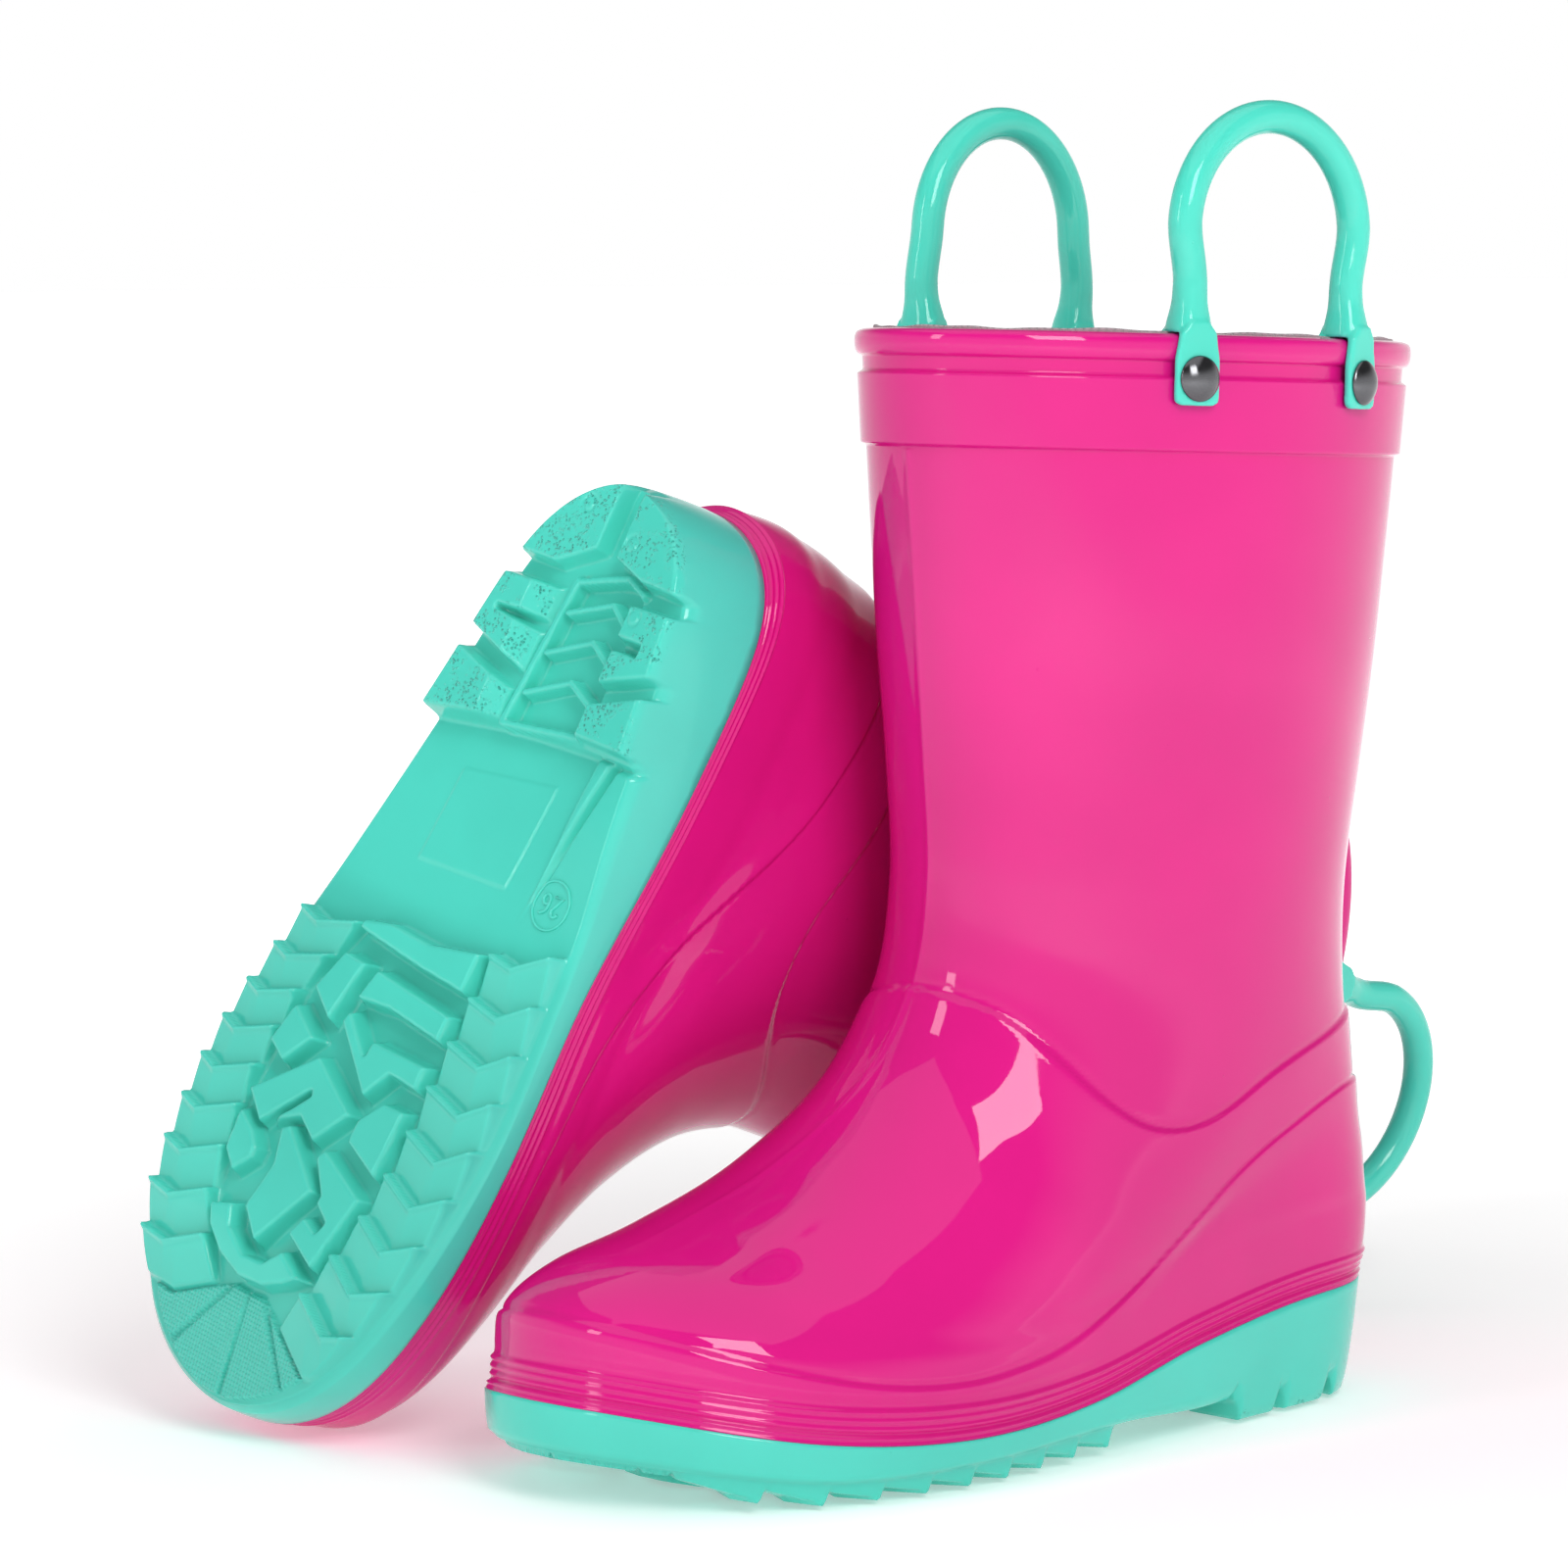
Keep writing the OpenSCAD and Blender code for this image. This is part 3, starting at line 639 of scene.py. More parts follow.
def build_insole(boot):
    inset = WALL + GAP + LINING + 4
    x, y, u = sole_grid(inset, 1.6, 44)
    floor = feather(np.clip((x - 1.2) / (LENGTH - 2.4), 0, 1)) + WALL + 2 * GAP + LINING + 0.1
    edge = np.minimum(x - x.min(), x.max() - x)
    side = np.minimum(np.abs(y - y[:, :1]), np.abs(y[:, -1:] - y))
    near = np.minimum(side, edge)
    crown = INSOLE * (0.55 + 0.45 * np.sqrt(np.clip(1 - (1 - np.clip(near / 2.2, 0, 1)) ** 2, 0, 1)))
    cup = 0.5 * np.exp(-((x - 34) / 22) ** 2 - ((y + 1) / 16) ** 2)
    ball = 0.35 * np.exp(-((x - 124) / 20) ** 2 - ((y + 6) / 22) ** 2)
    low = np.stack([x, y, floor], -1).reshape(-1, 3)
    high = np.stack([x, y, floor + crown - cup - ball], -1).reshape(-1, 3)
    rows, cols = x.shape
    loop = edge_loop(rows, cols)
    after = np.roll(loop, -1)
    shift = rows * cols
    walls = np.stack([loop, after, after + shift, loop + shift], -1)
    quads = np.concatenate([grid_faces(rows, cols)[:, ::-1], grid_faces(rows, cols, shift), walls])
    obj = piece(f"{boot}_insole_pad", boot, np.concatenate([low, high]), quads, (), material("insole_felt"))
    hand_over(obj, boot, "insole_felt", f"{boot}_insole")


# ---------------------------------------------------------------- outsole
# Heights above the ground, and the lugs' own
HEEL_FLOOR, CHANNEL_Z, RIB_Z, LUG_H = 3.6, 5.4, 2.2, 3.6
WAIST_PANEL = [(57, 8.5), (77, 7), (78, -17), (60, -16)]
WAIST_FIN = [(49, 17), (49, 21.5), (84, 13.2)]
VENT_MARKS = [(12.5, 6.5), (24.5, 14.5), (8, -8)]
HEEL_PLAN = [(-5, -60), (54, -60), (53, -30), (50, -8), (49, 12), (48.5, 60), (-5, 60)]
HEEL_LUGS = [
    [(-5, 3.5), (16, 3.5), (18.6, 12), (19.2, 33), (19.2, 60), (-5, 60)],
    [(-5, -1), (15.5, -1), (20.3, -10), (21, -60), (-5, -60)],
    [(22, 12), (29, 12), (29, 18.5), (30.5, 18.5), (30.5, 12), (38, 12), (31.6, 31), (31, 60),
     (21.4, 60), (21.4, 33)],
    [(41, 12), (48, 12), (48.5, 60), (33.2, 60), (33.9, 32)],
    [(23.5, -8), (30.4, -8), (31, -19.5), (32.2, -8), (41, -8), (35, -27), (34, -60), (25, -60)],
    [(43.5, -9), (50, -9), (53, -30), (54, -60), (36.5, -60), (38.5, -28)],
]
CHANNEL = [(18.5, 11.5), (47.5, 12), (50, -8), (20.5, -5.5)]
CHANNEL_RIBS = [
    [(21.5, -5), (50, -8.5)], [(47.5, 12), (50, -8)], [(27, 12), (23.5, 6), (27.5, -4)],
    [(34.5, 12), (31, 5), (35.5, -5)], [(42, 11), (39, 4), (43.5, -6)], [(20, 12), (18, 7), (21.5, -4)],
]
CENTRE_LUGS = [
    [(88.6, 12.6), (97.4, 12.6), (96.5, 0), (94.3, -19.5), (91.5, -19.5), (90.2, -12), (90.8, -1)],
    [(101, 12.6), (107, 12.6), (105.3, -3), (106, -12.6), (98.7, -10.2)],
    [(110.8, 12.6), (116.4, 12.6), (115.8, 4.6), (121.5, 0.2), (118, -4), (110.5, -13.3), (107, -12),
     (113.5, -3.8), (110.5, -3.5)],
    [(119.6, 12.4), (133.6, 11.6), (129.5, 1), (124.5, 1.2), (119.6, 5.8)],
    [(137, 11), (152.8, 6), (148.5, -3.8), (143.6, -1), (145.4, 3.2), (143.9, 4), (141.6, 0), (140, 0.3),
     (134, -5), (131.4, -3)],
    [(139.6, -1), (153, -10.6), (147.5, -17), (138.5, -14.5), (131.5, -16.5), (130.2, -13.7)],
    [(124.5, 0), (132.5, -7), (129.4, -12.6), (133.6, -22), (128, -29), (117, -14.3)],
    [(98.7, -13), (112, -16), (107, -24), (98, -20)],
    [(115, -17), (122, -23), (119, -29), (110, -26)],
    [(131, -28.5), (134, -22.5), (137, -19.5), (139.5, -19.5), (143.5, -23.5), (140, -28)],
    [(154.6, 4.6), (157.2, 0.2), (159.2, -5), (159.6, -12), (157.4, -18.5), (153.6, -23.6), (149, -26),
     (147.2, -19.5), (151.4, -17.5), (154.6, -12), (154.2, -6.5), (150.8, -2.6)],
]
LUG_SLOT = [(124.5, -12.6), (133, -21.4)]
# Where the blocks give way to the edge lugs: places along the sole, and Y there
BLOCKS_OUT = ([80, 122, 130.5, 139, 147.5, 156, 166], [13.5, 13.5, 12.9, 11.4, 8.7, 5, -1])
BLOCKS_IN = ([84, 92.5, 108, 127.6, 147, 155, 166], [-18, -20, -27.5, -30, -27.5, -24, -17])
EDGE_LUGS = 9


def to_stretch(x, y, start, end):
    """Distance from a straight stretch."""
    ex, ey = end[0] - start[0], end[1] - start[1]
    k = np.clip(((x - start[0]) * ex + (y - start[1]) * ey) / (ex * ex + ey * ey), 0, 1)
    return np.hypot(x - start[0] - k * ex, y - start[1] - k * ey)


def from_line(points, x, y):
    """Distance from an open run of straight lines."""
    return np.min([to_stretch(x, y, a, b) for a, b in zip(points, points[1:])], axis=0)


def depth_in(outline, x, y):
    """Distance inside a closed outline, negative outside it."""
    corners = np.array(outline, float)
    odd = np.zeros(x.shape, bool)
    for (ax, ay), (bx, by) in zip(corners, np.roll(corners, -1, 0)):
        odd ^= ((ay > y) != (by > y)) & (x < ax + (y - ay) * (bx - ax) / ((by - ay) or 1e-9))
    near = from_line([*corners, corners[0]], x, y)
    return np.where(odd, near, -near)


def sunk_to(z, foot, inside, wall=1.1):
    """Lowers the ground side of the sole to foot where inside is positive, with a sloped wall."""
    return np.minimum(z, mix(z, foot, ease(-0.25, wall - 0.25, inside)))


def bent_line(y, a, b, c):
    """Place along the sole, for each y, of a line from c to a that bends at b."""
    return np.where(y > b[1], mix(b[0], a[0], (y - b[1]) / (a[1] - b[1])),
                    mix(c[0], b[0], (y - c[1]) / (b[1] - c[1])))


def outer_ridge(i, y):
    """Place along the sole of ridge i of the outer edge lugs, for each y."""
    return bent_line(y, (79 + 9.4 * i, 38), (89 + 9.05 * i, 24.5 - 0.42 * (i - 3) ** 2),
                     (88 + 8.5 * i, 13.5 - 0.53 * max(i - 4, 0) ** 2))


def inner_ridge(i, y):
    """The same for the inner edge lugs."""
    return bent_line(y, (92.5 + 7.8 * i, -30 + 0.49 * (i - 4.5) ** 2),
                     (95.3 + 8 * i, -39.5 + 0.45 * (i - 4.5) ** 2), (90 + 8.45 * i, -50))


def saw(z, foot, x, y, ridge, zone):
    """Shingled edge lugs: each is full at its ridge and slopes away towards the toe."""
    depth = np.zeros(x.shape)
    for i in range(EDGE_LUGS):
        at, after = ridge(i, y), ridge(i + 1, y)
        tooth = 1 - 0.16 * ease(0.5, 1.5, x - at) - 0.5 * np.clip((x - at) / (after - at), 0, 1)
        depth = mix(depth, tooth, ease(-0.5, 0.35, x - at))
    end = ridge(EDGE_LUGS, y)
    depth *= 1 - ease(-0.8, 0.4, x - end)
    depth *= ease(-0.2, 0.9, zone)
    return np.minimum(z, mix(z, foot, depth))


def waist(z, x, y):
    """A low panel, and a fin that runs out towards the ball."""
    z = z - 0.25 * ease(-0.25, 0.25, depth_in(WAIST_PANEL, x, y))
    fin = depth_in(WAIST_FIN, x, y)
    z -= 2.4 * ease(0, 1.2, fin + 0.2) * (1 - ease(52, 84, x)) ** 0.7
    side_step = ease(0, 1, (y - mix(21.5, 13.2, np.clip((x - 49) / 35, 0, 1))) / 1.5)
    return z - 1.7 * side_step * ease(49, 51, x) * (1 - ease(58, 84, x))


def heel_block(z, x, y):
    """The heel's lugs round its ribbed channel, and a mask of the lugs' faces."""
    z = mix(z, HEEL_FLOOR, ease(-0.9, 0.3, depth_in(HEEL_PLAN, x, y)))
    z = mix(z, CHANNEL_Z, ease(-0.2, 0.8, depth_in(CHANNEL, x, y)))
    for rib in CHANNEL_RIBS:
        z = np.minimum(z, mix(z, RIB_Z, 1 - ease(0.45, 1.1, from_line(rib, x, y))))
    faces = np.zeros(x.shape)
    bank = 3.0 * np.clip((y + 14) / 6.5, 0, 1) * (y < 0)
    for k, lug in enumerate(HEEL_LUGS):
        inside = depth_in(lug, x, y)
        z = sunk_to(z, bank if k > 3 else 0.0, inside)
        faces = np.maximum(faces, ease(0.6, 1.2, inside))
    for cx, cy in VENT_MARKS:
        z += 0.25 * np.exp(-((np.hypot(x - cx, y - cy) - 1.5) / 0.35) ** 2) * faces
    return z, faces


def forefoot(z, floor, foot, x, y, edge):
    """Shingled lugs along both edges, and the blocks between them."""
    z = saw(z, foot, x, y, outer_ridge, np.minimum(y - np.interp(x, *BLOCKS_OUT), edge - 0.9))
    z = saw(z, foot, x, y, inner_ridge, np.minimum(np.interp(x, *BLOCKS_IN) - y, edge - 0.9))
    for lug in CENTRE_LUGS:
        z = sunk_to(z, foot + 0.15, depth_in(lug, x, y), 1.2)
    return mix(z, floor, (1 - ease(0.3, 0.9, from_line(LUG_SLOT, x, y))) * 0.9)


def toe_field(z, x, y, edge):
    """A low pad beyond the lugs with a smooth rim and radial grooves, and its mask."""
    reach = np.hypot(x - 140, (y + 10) / 1.12)
    field = ease(20.5, 21.5, reach) * ease(150, 153, x) * ease(2.6, 3.8, edge)
    field *= (x > outer_ridge(EDGE_LUGS, y) + 0.5) & (x > inner_ridge(EDGE_LUGS, y) + 0.5)
    z = z - 1.1 * field
    for k in range(3):
        a = math.radians(-28 + 27 * k)
        c, s = math.cos(a), math.sin(a)
        groove = [(158 + 2 * c, -10 + 8 * s), (158 + 22 * c, -10 + 40 * s)]
        z += 0.8 * (1 - ease(0.25, 0.7, from_line(groove, x, y))) * field
    return z, field


def tread(x, y, u, edge):
    """Height above the ground of the sole's underside, masks for its finishes, and a mask of painted shade
    for its recesses.
    """
    floor = base(u)
    foot = np.maximum(0, floor - LUG_H - 0.4)
    z, faces = heel_block(waist(floor, x, y), x, y)
    z, field = toe_field(forefoot(z, floor, foot, x, y, edge), x, y, edge)
    z += 0.5 * (1 - np.clip(edge / 0.9, 0, 1)) ** 2
    # Painted shade: the floor mark is high in the tread's recesses, and the sole's finish darkens its colour
    # there.
    low = np.clip((z - foot) / np.maximum(floor - foot, 0.5), 0, 1)
    return z, {"stipple": faces, "dotted": field, "floor": 0.6 * low * ease(84, 90, x)}


def drafted(x, y):
    """The tread's plan, inside the sole's top outline as its side leans, and the room to its edge."""
    draft = mix(2.3, 1.0, ease(0.2, 0.45, x / LENGTH))
    middle, half = (y[:, :1] + y[:, -1:]) / 2, (y[:, -1:] - y[:, :1]) / 2
    along = LENGTH / 2 + (x - LENGTH / 2) * (1 - draft / (LENGTH / 2))
    across = middle + (y - middle) * (1 - np.minimum(draft / half, 0.5))
    sides = np.minimum(across - across[:, :1], across[:, -1:] - across)
    ends = np.minimum(along - along.min(), along.max() - along)
    return along, across, np.minimum(sides, 4 * ends)


def sole_side(low, x, y):
    """Rings of the sole's side, from the tread's edge up to the feather line."""
    top = np.column_stack([x, y, feather(np.clip((x - 0.2) / (LENGTH - 0.4), 0, 1)) - 0.02])
    away = np.column_stack([x - LENGTH / 2, y, 0 * x])
    away /= np.linalg.norm(away, axis=1, keepdims=True)
    rings = []
    for k in np.linspace(0, 1, 11)[1:]:
        middle = mix(low, top, k)
        lean = np.clip(middle[:, 2:] / top[:, 2:], 0, 1) ** 0.8
        middle[:, :2] = mix(low[:, :2], top[:, :2], lean)
        rings.append(middle + 0.2 * math.sin(math.pi * k) * away)
    return rings


def build_outsole(boot):
    wide_x, wide_y, u = sole_grid(0.0, 0.4, 240)
    x, y, edge = drafted(wide_x, wide_y)
    z, marks = tread(x, y, u, edge)
    rows, cols = x.shape
    bottom = np.stack([x, y, z], -1).reshape(-1, 3)
    loop = edge_loop(rows, cols)
    rings = sole_side(bottom[loop], wide_x.ravel()[loop], wide_y.ravel()[loop])
    count = len(loop)
    points = np.concatenate([bottom] + rings)
    start = rows * cols
    quads = [grid_faces(rows, cols)[:, ::-1]]
    nxt = (np.arange(count) + 1) % count
    ring = start + np.arange(count)
    quads.append(np.stack([loop, np.roll(loop, -1), ring[nxt], ring], -1))
    quads.append(ring_faces(len(rings), count, start))
    last = start + (len(rings) - 1) * count
    left = last + np.arange(rows)
    right = last + np.array([rows + cols - 2 + (rows - 1 - i) for i in range(rows)])
    strips = np.stack([left[1:-2], left[2:-1], right[2:-1], right[1:-2]], -1)
    quads.append(strips)
    toe_end = [int(left[-2])] + [int(last + rows - 1 + k) for k in range(cols)] + [int(right[-2])]
    first = [int(left[1])] + [int(left[0])] + [int(last + count - 1 - k) for k in range(cols - 2)]
    first += [int(right[0]), int(right[1])]
    for key in marks:
        marks[key] = np.concatenate([marks[key].ravel(), np.zeros(count * len(rings))])
    obj = piece(f"{boot}_outsole_tread", boot, points, np.concatenate(quads), [first, toe_end],
                material("turquoise_sole"), marks=marks)
    hand_over(obj, boot, "turquoise_sole", f"{boot}_outsole")


# ---------------------------------------------------------------- size mark
def arc(cx, cy, r, a0, a1, n=14, squash=1.0):
    a = np.radians(np.linspace(a0, a1, n))
    return np.stack([cx + r * np.cos(a), cy + squash * r * np.sin(a)], -1)


def digit_two():
    return np.concatenate([arc(0, 0.95, 0.85, 170, -35), [(-0.95, -1.75)], [(0.95, -1.75)]])


def digit_six():
    return np.concatenate([arc(0.9, 0.1, 1.75, 95, 180), arc(0, -0.85, 0.88, 180, 540, 22)])


def build_size_mark(boot):
    """A raised ring with the size in it, on the waist's outer side. It reads right on both boots."""
    cx, cy = 76.5, 20.0
    turn = -1 if boot == "right" else 1

    def lay(flat, dx):
        x, y = cx + flat[:, 1], cy + turn * (flat[:, 0] + dx)
        z = tread(x, y, x / LENGTH, np.full(x.shape, 10.0))[0]
        return np.stack([x, y, z - 0.1], -1)

    ring = arc(0, 0, 4.5, 0, 360, 73)[:-1]
    shapes = [tube(lay(ring, 0), 0.26, (0, 0, 1), 10, closed=True)]
    for digit, dx in ((digit_two(), -1.45), (digit_six(), 1.45)):
        shapes.append(tube(lay(digit, dx), 0.32, (0, 0, 1), 10))
    points, quads, others = join_shapes(shapes)
    marks = {key: np.zeros(len(points)) for key in ("stipple", "dotted", "floor")}
    obj = piece(f"{boot}_size_mark", boot, points, quads, others, material("turquoise_sole"), marks=marks)
    hand_over(obj, boot, "turquoise_sole")


# ---------------------------------------------------------------- handles and rivets
def superellipse(n, a, b, power):
    t = np.linspace(0, 2 * np.pi, n, endpoint=False)
    c, s = np.cos(t), np.sin(t)
    bend = 2 / power
    return np.stack([a * np.sign(c) * np.abs(c) ** bend, b * np.sign(s) * np.abs(s) ** bend], -1)


def stack_rings(rings):
    n = len(rings[0])
    points = np.concatenate(rings)
    last = (len(rings) - 1) * n
    return points, ring_faces(len(rings), n), [list(range(n))[::-1], list(range(last, last + n))]


def fork_body(dx, side):
    """Where the rod spreads into its saddle over the rim."""
    mid, half = (TAB_OUT[1] + TAB_IN[0]) / 2, (TAB_OUT[1] - TAB_IN[0]) / 2
    turn, reach = wall_turn(dx), HANDLE_Y - wall_y(dx)
    rings = []
    for k in np.linspace(0, 1, 18):
        z = mix(10.0, FORK_SEAT + 0.05, k)
        a = mix(ROD_R, FORK_W / 2 - FORK_WAIST, ease(0.4, 1.0, k))
        b = mix(ROD_R, half - 0.05, ease(0.25, 0.95, k))
        flat = superellipse(40, a, b, mix(2.0, 2.8, k))
        hold = 1 - ease(0.1, 0.85, k)
        x = flat[:, 0] - reach * math.sin(turn) * hold
        y = flat[:, 1] + mix(mid, reach * math.cos(turn), hold)
        rings.append(fork_point(dx, x, y, np.full(40, z), side))
    return stack_rings(rings)


def fork_tab(dx, side, near, far, lead):
    """One flat tab of a fork, hanging over the wall, waisted and thicker where the rod runs in."""
    rings = []
    for k in np.linspace(0, 1, 28):
        z = mix(FORK_SEAT + 1.9, -FORK_DROP, k)
        foot = max(0.0, (-z - FORK_DROP + TAB_ROUND) / TAB_ROUND)
        half = FORK_W / 2 - FORK_WAIST * (1 - ease(0.15, 0.5, k))
        half -= TAB_ROUND * (1 - math.sqrt(max(0.0, 1 - foot * foot)))
        half -= 1.6 * (1 - ease(0.0, 0.16, k))
        swell = lead * (1 - ease(0.0, 0.35, k))
        lo, hi = (near, far + swell) if far > 0 else (near - swell, far)
        flat = superellipse(36, half, (hi - lo) / 2, 6.0)
        rings.append(fork_point(dx, flat[:, 0], flat[:, 1] + (lo + hi) / 2, np.full(36, z), side))
    return stack_rings(rings)


def handle_path(bulge):
    """The rod's centre line from the front fork to the rear one, its legs bowed out by bulge."""
    r = SPAN / 2
    a = np.linspace(0, np.pi, 61)[1:-1]
    legs = np.linspace(8.0, RISE - r, 14)[:-1]
    up = [(FRONT, z) for z in legs]
    over = [(SHIFT + r * math.cos(v), RISE - r + r * math.sin(v)) for v in a]
    path = np.array(up + over + [(REAR, z) for z in legs[::-1]])
    path[:, 0] += bulge * (path[:, 0] - SHIFT) / r * ease(9.0, 20.0, path[:, 1])
    return path


def build_handle(boot, side_name):
    side = SIDES[side_name]
    path = handle_path(HANDLE_BULGE[side_name])
    rod = tube(rim_point(path[:, 0], np.full(len(path), HANDLE_Y), path[:, 1], side), ROD_R, (0, 1, 0), 32)
    shapes = [rod]
    for dx in (FRONT, REAR):
        shapes.append(fork_body(dx, side))
        shapes.append(fork_tab(dx, side, *TAB_OUT, 0.25))
        shapes.append(fork_tab(dx, side, *TAB_IN, 0.0))
    points, quads, others = join_shapes(shapes)
    name = f"{boot}_{side_name}_pull_handle"
    obj = piece(name, boot, points, quads, others, material("turquoise_handle"))
    merge = obj.modifiers.new("merge", "REMESH")
    merge.mode = "VOXEL"
    merge.voxel_size = bpy.context.scene.boot_sizes.handle_voxel
    soft = obj.modifiers.new("soft", "SMOOTH")
    soft.factor = 0.5
    soft.iterations = 5
    apply_modifiers(obj)
    refresh_boot_at(obj, boot)
    nodes = [f"{boot}_{side_name}_handle"] + [f"{boot}_{side_name}_{end}_fork" for end in ("front", "rear")]
    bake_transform(obj)
    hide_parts(*nodes)


def apply_modifiers(obj):
    graph = bpy.context.evaluated_depsgraph_get()
    solid = bpy.data.meshes.new_from_object(obj.evaluated_get(graph), depsgraph=graph)
    obj.modifiers.clear()
    obj.data = solid
    obj.data.shade_smooth()


def refresh_boot_at(obj, boot):
    """Boot-frame places again, after a remesh."""
    co = np.zeros(len(obj.data.vertices) * 3)
    obj.data.vertices.foreach_get("co", co)
    p = co.reshape(-1, 3) / MM + PAIR_MID
    if boot == "right":
        p = ((p - LEAN_AT) @ LEAN_TURN) * (1, -1, 1)
    layer = obj.data.attributes.get("boot_at") or obj.data.attributes.new("boot_at", "FLOAT_VECTOR", "POINT")
    layer.data.foreach_set("vector", p.astype(np.float32).ravel())


def lathe(profile, dx, side, sides=56):
    """Turned solid on a rivet's axis. profile holds radius and place along the wall's normal."""
    a = np.linspace(0, 2 * np.pi, sides, endpoint=False)
    rings = [fork_point(dx, r * np.cos(a), np.full(sides, n), -RIVET_DROP + r * np.sin(a), side)
             for r, n in profile]
    return stack_rings(rings)


def cap_profile():
    y = TAB_OUT[1]
    dome_r = (CAP_R**2 + CAP_RISE**2) / (2 * CAP_RISE)
    rows = [(CAP_R - 0.25, y), (CAP_R - 0.03, y + 0.12), (CAP_R, y + 0.32), (CAP_R - 0.12, y + 0.5)]
    for r in np.linspace(CAP_R - 0.3, 0.02, 16):
        rows.append((r, y + 0.4 + CAP_RISE - dome_r + math.sqrt(dome_r**2 - r * r)))
    return rows


def post_profile():
    y0, y1 = TAB_IN[0] - FLANGE_T, TAB_OUT[1]
    return [(0.9, y0 + 0.16), (1.05, y0 + 0.02), (1.5, y0), (FLANGE_R - 0.3, y0), (FLANGE_R - 0.05, y0 + 0.1),
            (FLANGE_R, y0 + 0.3), (FLANGE_R - 0.1, y0 + FLANGE_T), (SHANK_R, y0 + FLANGE_T + 0.02),
            (SHANK_R, y1)]


def build_rivets(boot):
    for side_name, side in SIDES.items():
        for end, dx in (("front", FRONT), ("rear", REAR)):
            for kind, profile in (("cap", cap_profile()), ("post", post_profile())):
                points, quads, others = lathe(profile, dx, side)
                name = f"{boot}_{side_name}_{end}_rivet_{kind}"
                obj = piece(f"{name}_turned", boot, points, quads, others, material("rivet_metal"))
                hand_over(obj, boot, "rivet_metal", name)


# ---------------------------------------------------------------- stage
CAMERA_AT = np.array([840.46, 749.97, 215.45])
CAMERA_YAW, CAMERA_PITCH, CAMERA_ROLL = -2.32585, -0.09291, -0.00848
SENSOR, LENS = 36.0, 138.84
# Height in the sky, as a sine, below which the white sweep glows, and above which it has faded
SWEEP_LOW, SWEEP_HIGH = 0.16, 0.45
# The floor's own glow at its middle and far out
FLOOR_GLOW = (0.32, 0.86)


def look_matrix(at, yaw, pitch, roll):
    forward = Vector((math.cos(yaw) * math.cos(pitch), math.sin(yaw) * math.cos(pitch), math.sin(pitch)))
    right = forward.cross(Vector((0, 0, 1))).normalized()
    up = right.cross(forward)
    turned = math.cos(roll) * right + math.sin(roll) * up
    up = turned.cross(forward)
    axes = Matrix((turned, up, -forward)).transposed()
    return Matrix.Translation(at) @ axes.to_4x4()


def build_camera():
    data = bpy.data.cameras.new("view")
    data.sensor_width = SENSOR
    data.lens = LENS
    data.clip_end = 20
    cam = bpy.data.objects.new("view", data)
    bpy.context.scene.collection.objects.link(cam)
    cam.matrix_world = look_matrix(Vector((CAMERA_AT - PAIR_MID) * MM), CAMERA_YAW, CAMERA_PITCH, CAMERA_ROLL)
    bpy.context.scene.camera = cam


def softbox(name, at, aim, size, watts):
    data = bpy.data.lights.new(name, "AREA")
    data.shape = "RECTANGLE"
    data.size, data.size_y = size
    data.energy = watts
    lamp = bpy.data.objects.new(name, data)
    bpy.context.scene.collection.objects.link(lamp)
    lamp.location = at
    lamp.rotation_euler = (Vector(aim) - Vector(at)).to_track_quat("-Z", "Y").to_euler()


def build_stage(settings):
    low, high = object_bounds()
    mid = [(a + b) / 2 for a, b in zip(low, high)]
    bpy.ops.mesh.primitive_plane_add(size=settings.floor_size, location=(mid[0], mid[1], low[2]))
    floor = bpy.context.object
    floor.name = "studio_floor"
    m = Shader("studio_floor")
    at = m.add("ShaderNodeTexCoord").outputs["Object"]
    tone = m.ramp(m.noise(at, 3.0), 0.3, 0.7)
    m.put(m.main, "Base Color", m.blend(tone, (0.9, 0.9, 0.9, 1), (0.93, 0.93, 0.93, 1)))
    m.set(Roughness=0.85)
    far = m.add("ShaderNodeVectorMath", {0: at}, operation="LENGTH").outputs["Value"]
    m.put(m.main, "Emission Color", (1, 1, 1, 1))
    m.put(m.main, "Emission Strength", m.ramp(far, settings.pool * 0.2, settings.pool, *FLOOR_GLOW))
    floor.data.materials.append(m.mat)
    floor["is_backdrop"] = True
    world = bpy.data.worlds.new("studio")
    bpy.context.scene.world = world
    world.use_nodes = True
    nodes, links = world.node_tree.nodes, world.node_tree.links
    height = nodes.new("ShaderNodeSeparateXYZ")
    links.new(nodes.new("ShaderNodeTexCoord").outputs["Generated"], height.inputs[0])
    glow = nodes.new("ShaderNodeMapRange")
    for key, value in enumerate((SWEEP_LOW, SWEEP_HIGH, 1.0, settings.ambient), 1):
        glow.inputs[key].default_value = value
    links.new(height.outputs[2], glow.inputs[0])
    nodes["Background"].inputs[0].default_value = (1, 1, 1, 1)
    links.new(glow.outputs[0], nodes["Background"].inputs[1])
    middle = (0.0, 0.0, 0.08)
    softbox("key", (0.5, 1.1, 0.88), middle, (0.5, 0.6), settings.key)
    softbox("front", (1.35, -0.1, 0.66), middle, (0.2, 0.6), settings.front)
    softbox("overhead", (0.1, 0.1, 1.7), (0.0, 0.0, 0.0), (2.2, 2.2), settings.overhead)
    bpy.context.scene.view_settings.view_transform = "Standard"
    build_camera()


# ---------------------------------------------------------------- settings, operators and panel
def colour_field(name, description, value):
    return bpy.props.FloatVectorProperty(
        name=name, description=description, default=value, size=3, min=0, max=1, subtype="COLOR")


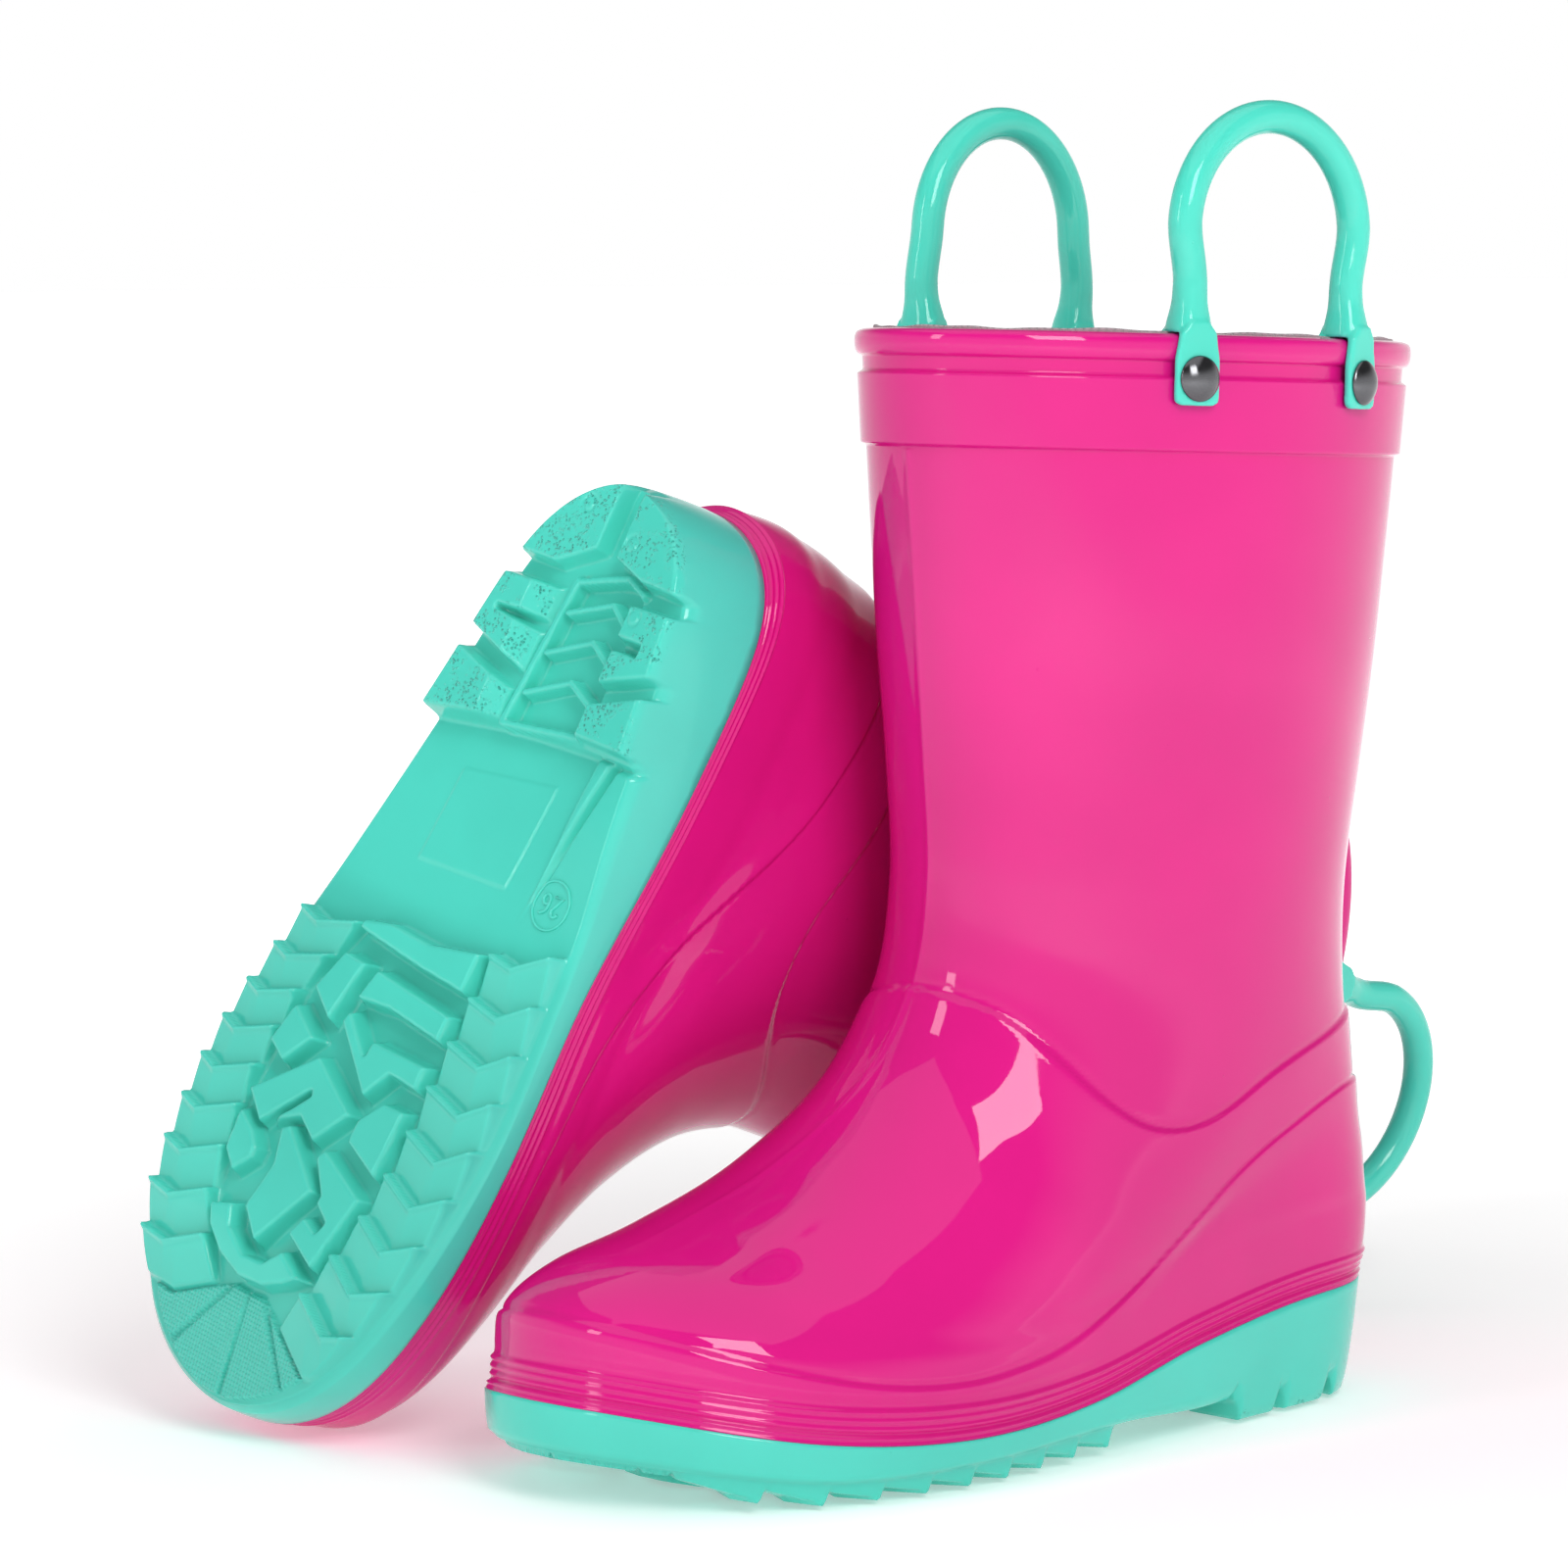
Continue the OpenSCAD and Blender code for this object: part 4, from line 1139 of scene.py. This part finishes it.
class BootColours(bpy.types.PropertyGroup):
    pink: colour_field("Upper", "Colour of the moulded upper", (0.7, 0.009, 0.225))
    turquoise: colour_field("Sole", "Colour of the outsole", (0.08, 0.66, 0.54))
    handle: colour_field("Handle", "Colour of the pull handles", (0.08, 0.68, 0.54))
    knit: colour_field("Lining", "Colour of the knitted lining", (0.5, 0.38, 0.42))
    felt: colour_field("Insole", "Colour of the felt insole", (0.6, 0.58, 0.56))
    metal: colour_field("Rivets", "Colour of the rivets' plating", (0.16, 0.16, 0.17))


def length_field(name, description, value, unit="NONE"):
    return bpy.props.FloatProperty(name=name, description=description, default=value, min=0, unit=unit)


class BootSizes(bpy.types.PropertyGroup):
    welt_ridge: length_field("Welt ridge", "How far a welt ridge stands out, in millimetres", 0.4)
    vamp_step: length_field("Vamp step", "How far the vamp stands out at its line, in millimetres", 0.6)
    foxing_step: length_field("Foxing step", "How far the toe and heel band stands out, in millimetres", 0.5)
    mould_line: length_field("Mould line", "Height of the front and back mould lines, in millimetres", 0.22)
    handle_voxel: length_field("Handle grain", "Cell size that joins rod and forks", 0.00034, "LENGTH")


class StageSettings(bpy.types.PropertyGroup):
    floor_size: length_field("Floor", "Width of the studio floor", 80.0, "LENGTH")
    pool: length_field("Pool", "How far from the middle the floor's glow is full", 0.8, "LENGTH")
    ambient: length_field("Ambient", "Strength of the light from high up", 0.15)
    key: length_field("Key", "Power of the main softbox", 8.5, "POWER")
    front: length_field("Front", "Power of the strip softbox before the toes", 2.4, "POWER")
    overhead: length_field("Overhead", "Power of the overhead softbox", 12.0, "POWER")


class BOOTS_OT_uppers(bpy.types.Operator):
    """Build the two moulded uppers"""
    bl_idname = "boots.uppers"
    bl_label = "Uppers"

    def execute(self, context):
        for boot in BOOTS:
            build_upper(boot, context.scene.boot_sizes)
        return {"FINISHED"}


class BOOTS_OT_insides(bpy.types.Operator):
    """Build the knitted linings and the felt insoles"""
    bl_idname = "boots.insides"
    bl_label = "Linings and Insoles"

    def execute(self, context):
        for boot in BOOTS:
            build_lining(boot)
            build_insole(boot)
        return {"FINISHED"}


class BOOTS_OT_outsoles(bpy.types.Operator):
    """Build the two outsoles with their tread and size marks"""
    bl_idname = "boots.outsoles"
    bl_label = "Outsoles"

    def execute(self, context):
        for boot in BOOTS:
            build_outsole(boot)
            build_size_mark(boot)
        return {"FINISHED"}


class BOOTS_OT_handles(bpy.types.Operator):
    """Build the four pull handles"""
    bl_idname = "boots.handles"
    bl_label = "Pull Handles"

    def execute(self, context):
        for boot in BOOTS:
            for side_name in SIDES:
                build_handle(boot, side_name)
        return {"FINISHED"}


class BOOTS_OT_rivets(bpy.types.Operator):
    """Build the rivets' caps and posts"""
    bl_idname = "boots.rivets"
    bl_label = "Rivets"

    def execute(self, context):
        for boot in BOOTS:
            build_rivets(boot)
        return {"FINISHED"}


class BOOTS_OT_stage(bpy.types.Operator):
    """Build the floor, the soft lights and the camera"""
    bl_idname = "boots.stage"
    bl_label = "Stage"

    def execute(self, context):
        build_stage(context.scene.boot_stage)
        return {"FINISHED"}


PIECES = ("uppers", "insides", "outsoles", "handles", "rivets", "stage")


class BOOTS_PT_panel(bpy.types.Panel):
    bl_idname = "BOOTS_PT_panel"
    bl_label = "Rain Boots"
    bl_space_type = "VIEW_3D"
    bl_region_type = "UI"
    bl_category = "Rain Boots"

    def draw(self, context):
        for group in (context.scene.boot_colours, context.scene.boot_sizes, context.scene.boot_stage):
            for key in group.bl_rna.properties.keys():
                if key not in ("rna_type", "name"):
                    self.layout.prop(group, key)
        for key in PIECES:
            self.layout.operator(f"boots.{key}")


CLASSES = (BootColours, BootSizes, StageSettings, BOOTS_OT_uppers, BOOTS_OT_insides, BOOTS_OT_outsoles,
           BOOTS_OT_handles, BOOTS_OT_rivets, BOOTS_OT_stage, BOOTS_PT_panel)


def register():
    for cls in CLASSES:
        bpy.utils.register_class(cls)
    bpy.types.Scene.boot_colours = bpy.props.PointerProperty(type=BootColours)
    bpy.types.Scene.boot_sizes = bpy.props.PointerProperty(type=BootSizes)
    bpy.types.Scene.boot_stage = bpy.props.PointerProperty(type=StageSettings)


def unregister():
    del bpy.types.Scene.boot_colours, bpy.types.Scene.boot_sizes, bpy.types.Scene.boot_stage
    for cls in reversed(CLASSES):
        bpy.utils.unregister_class(cls)


def main():
    register()
    for key in PIECES:
        getattr(bpy.ops.boots, key)()


if __name__ == "__main__":
    main()
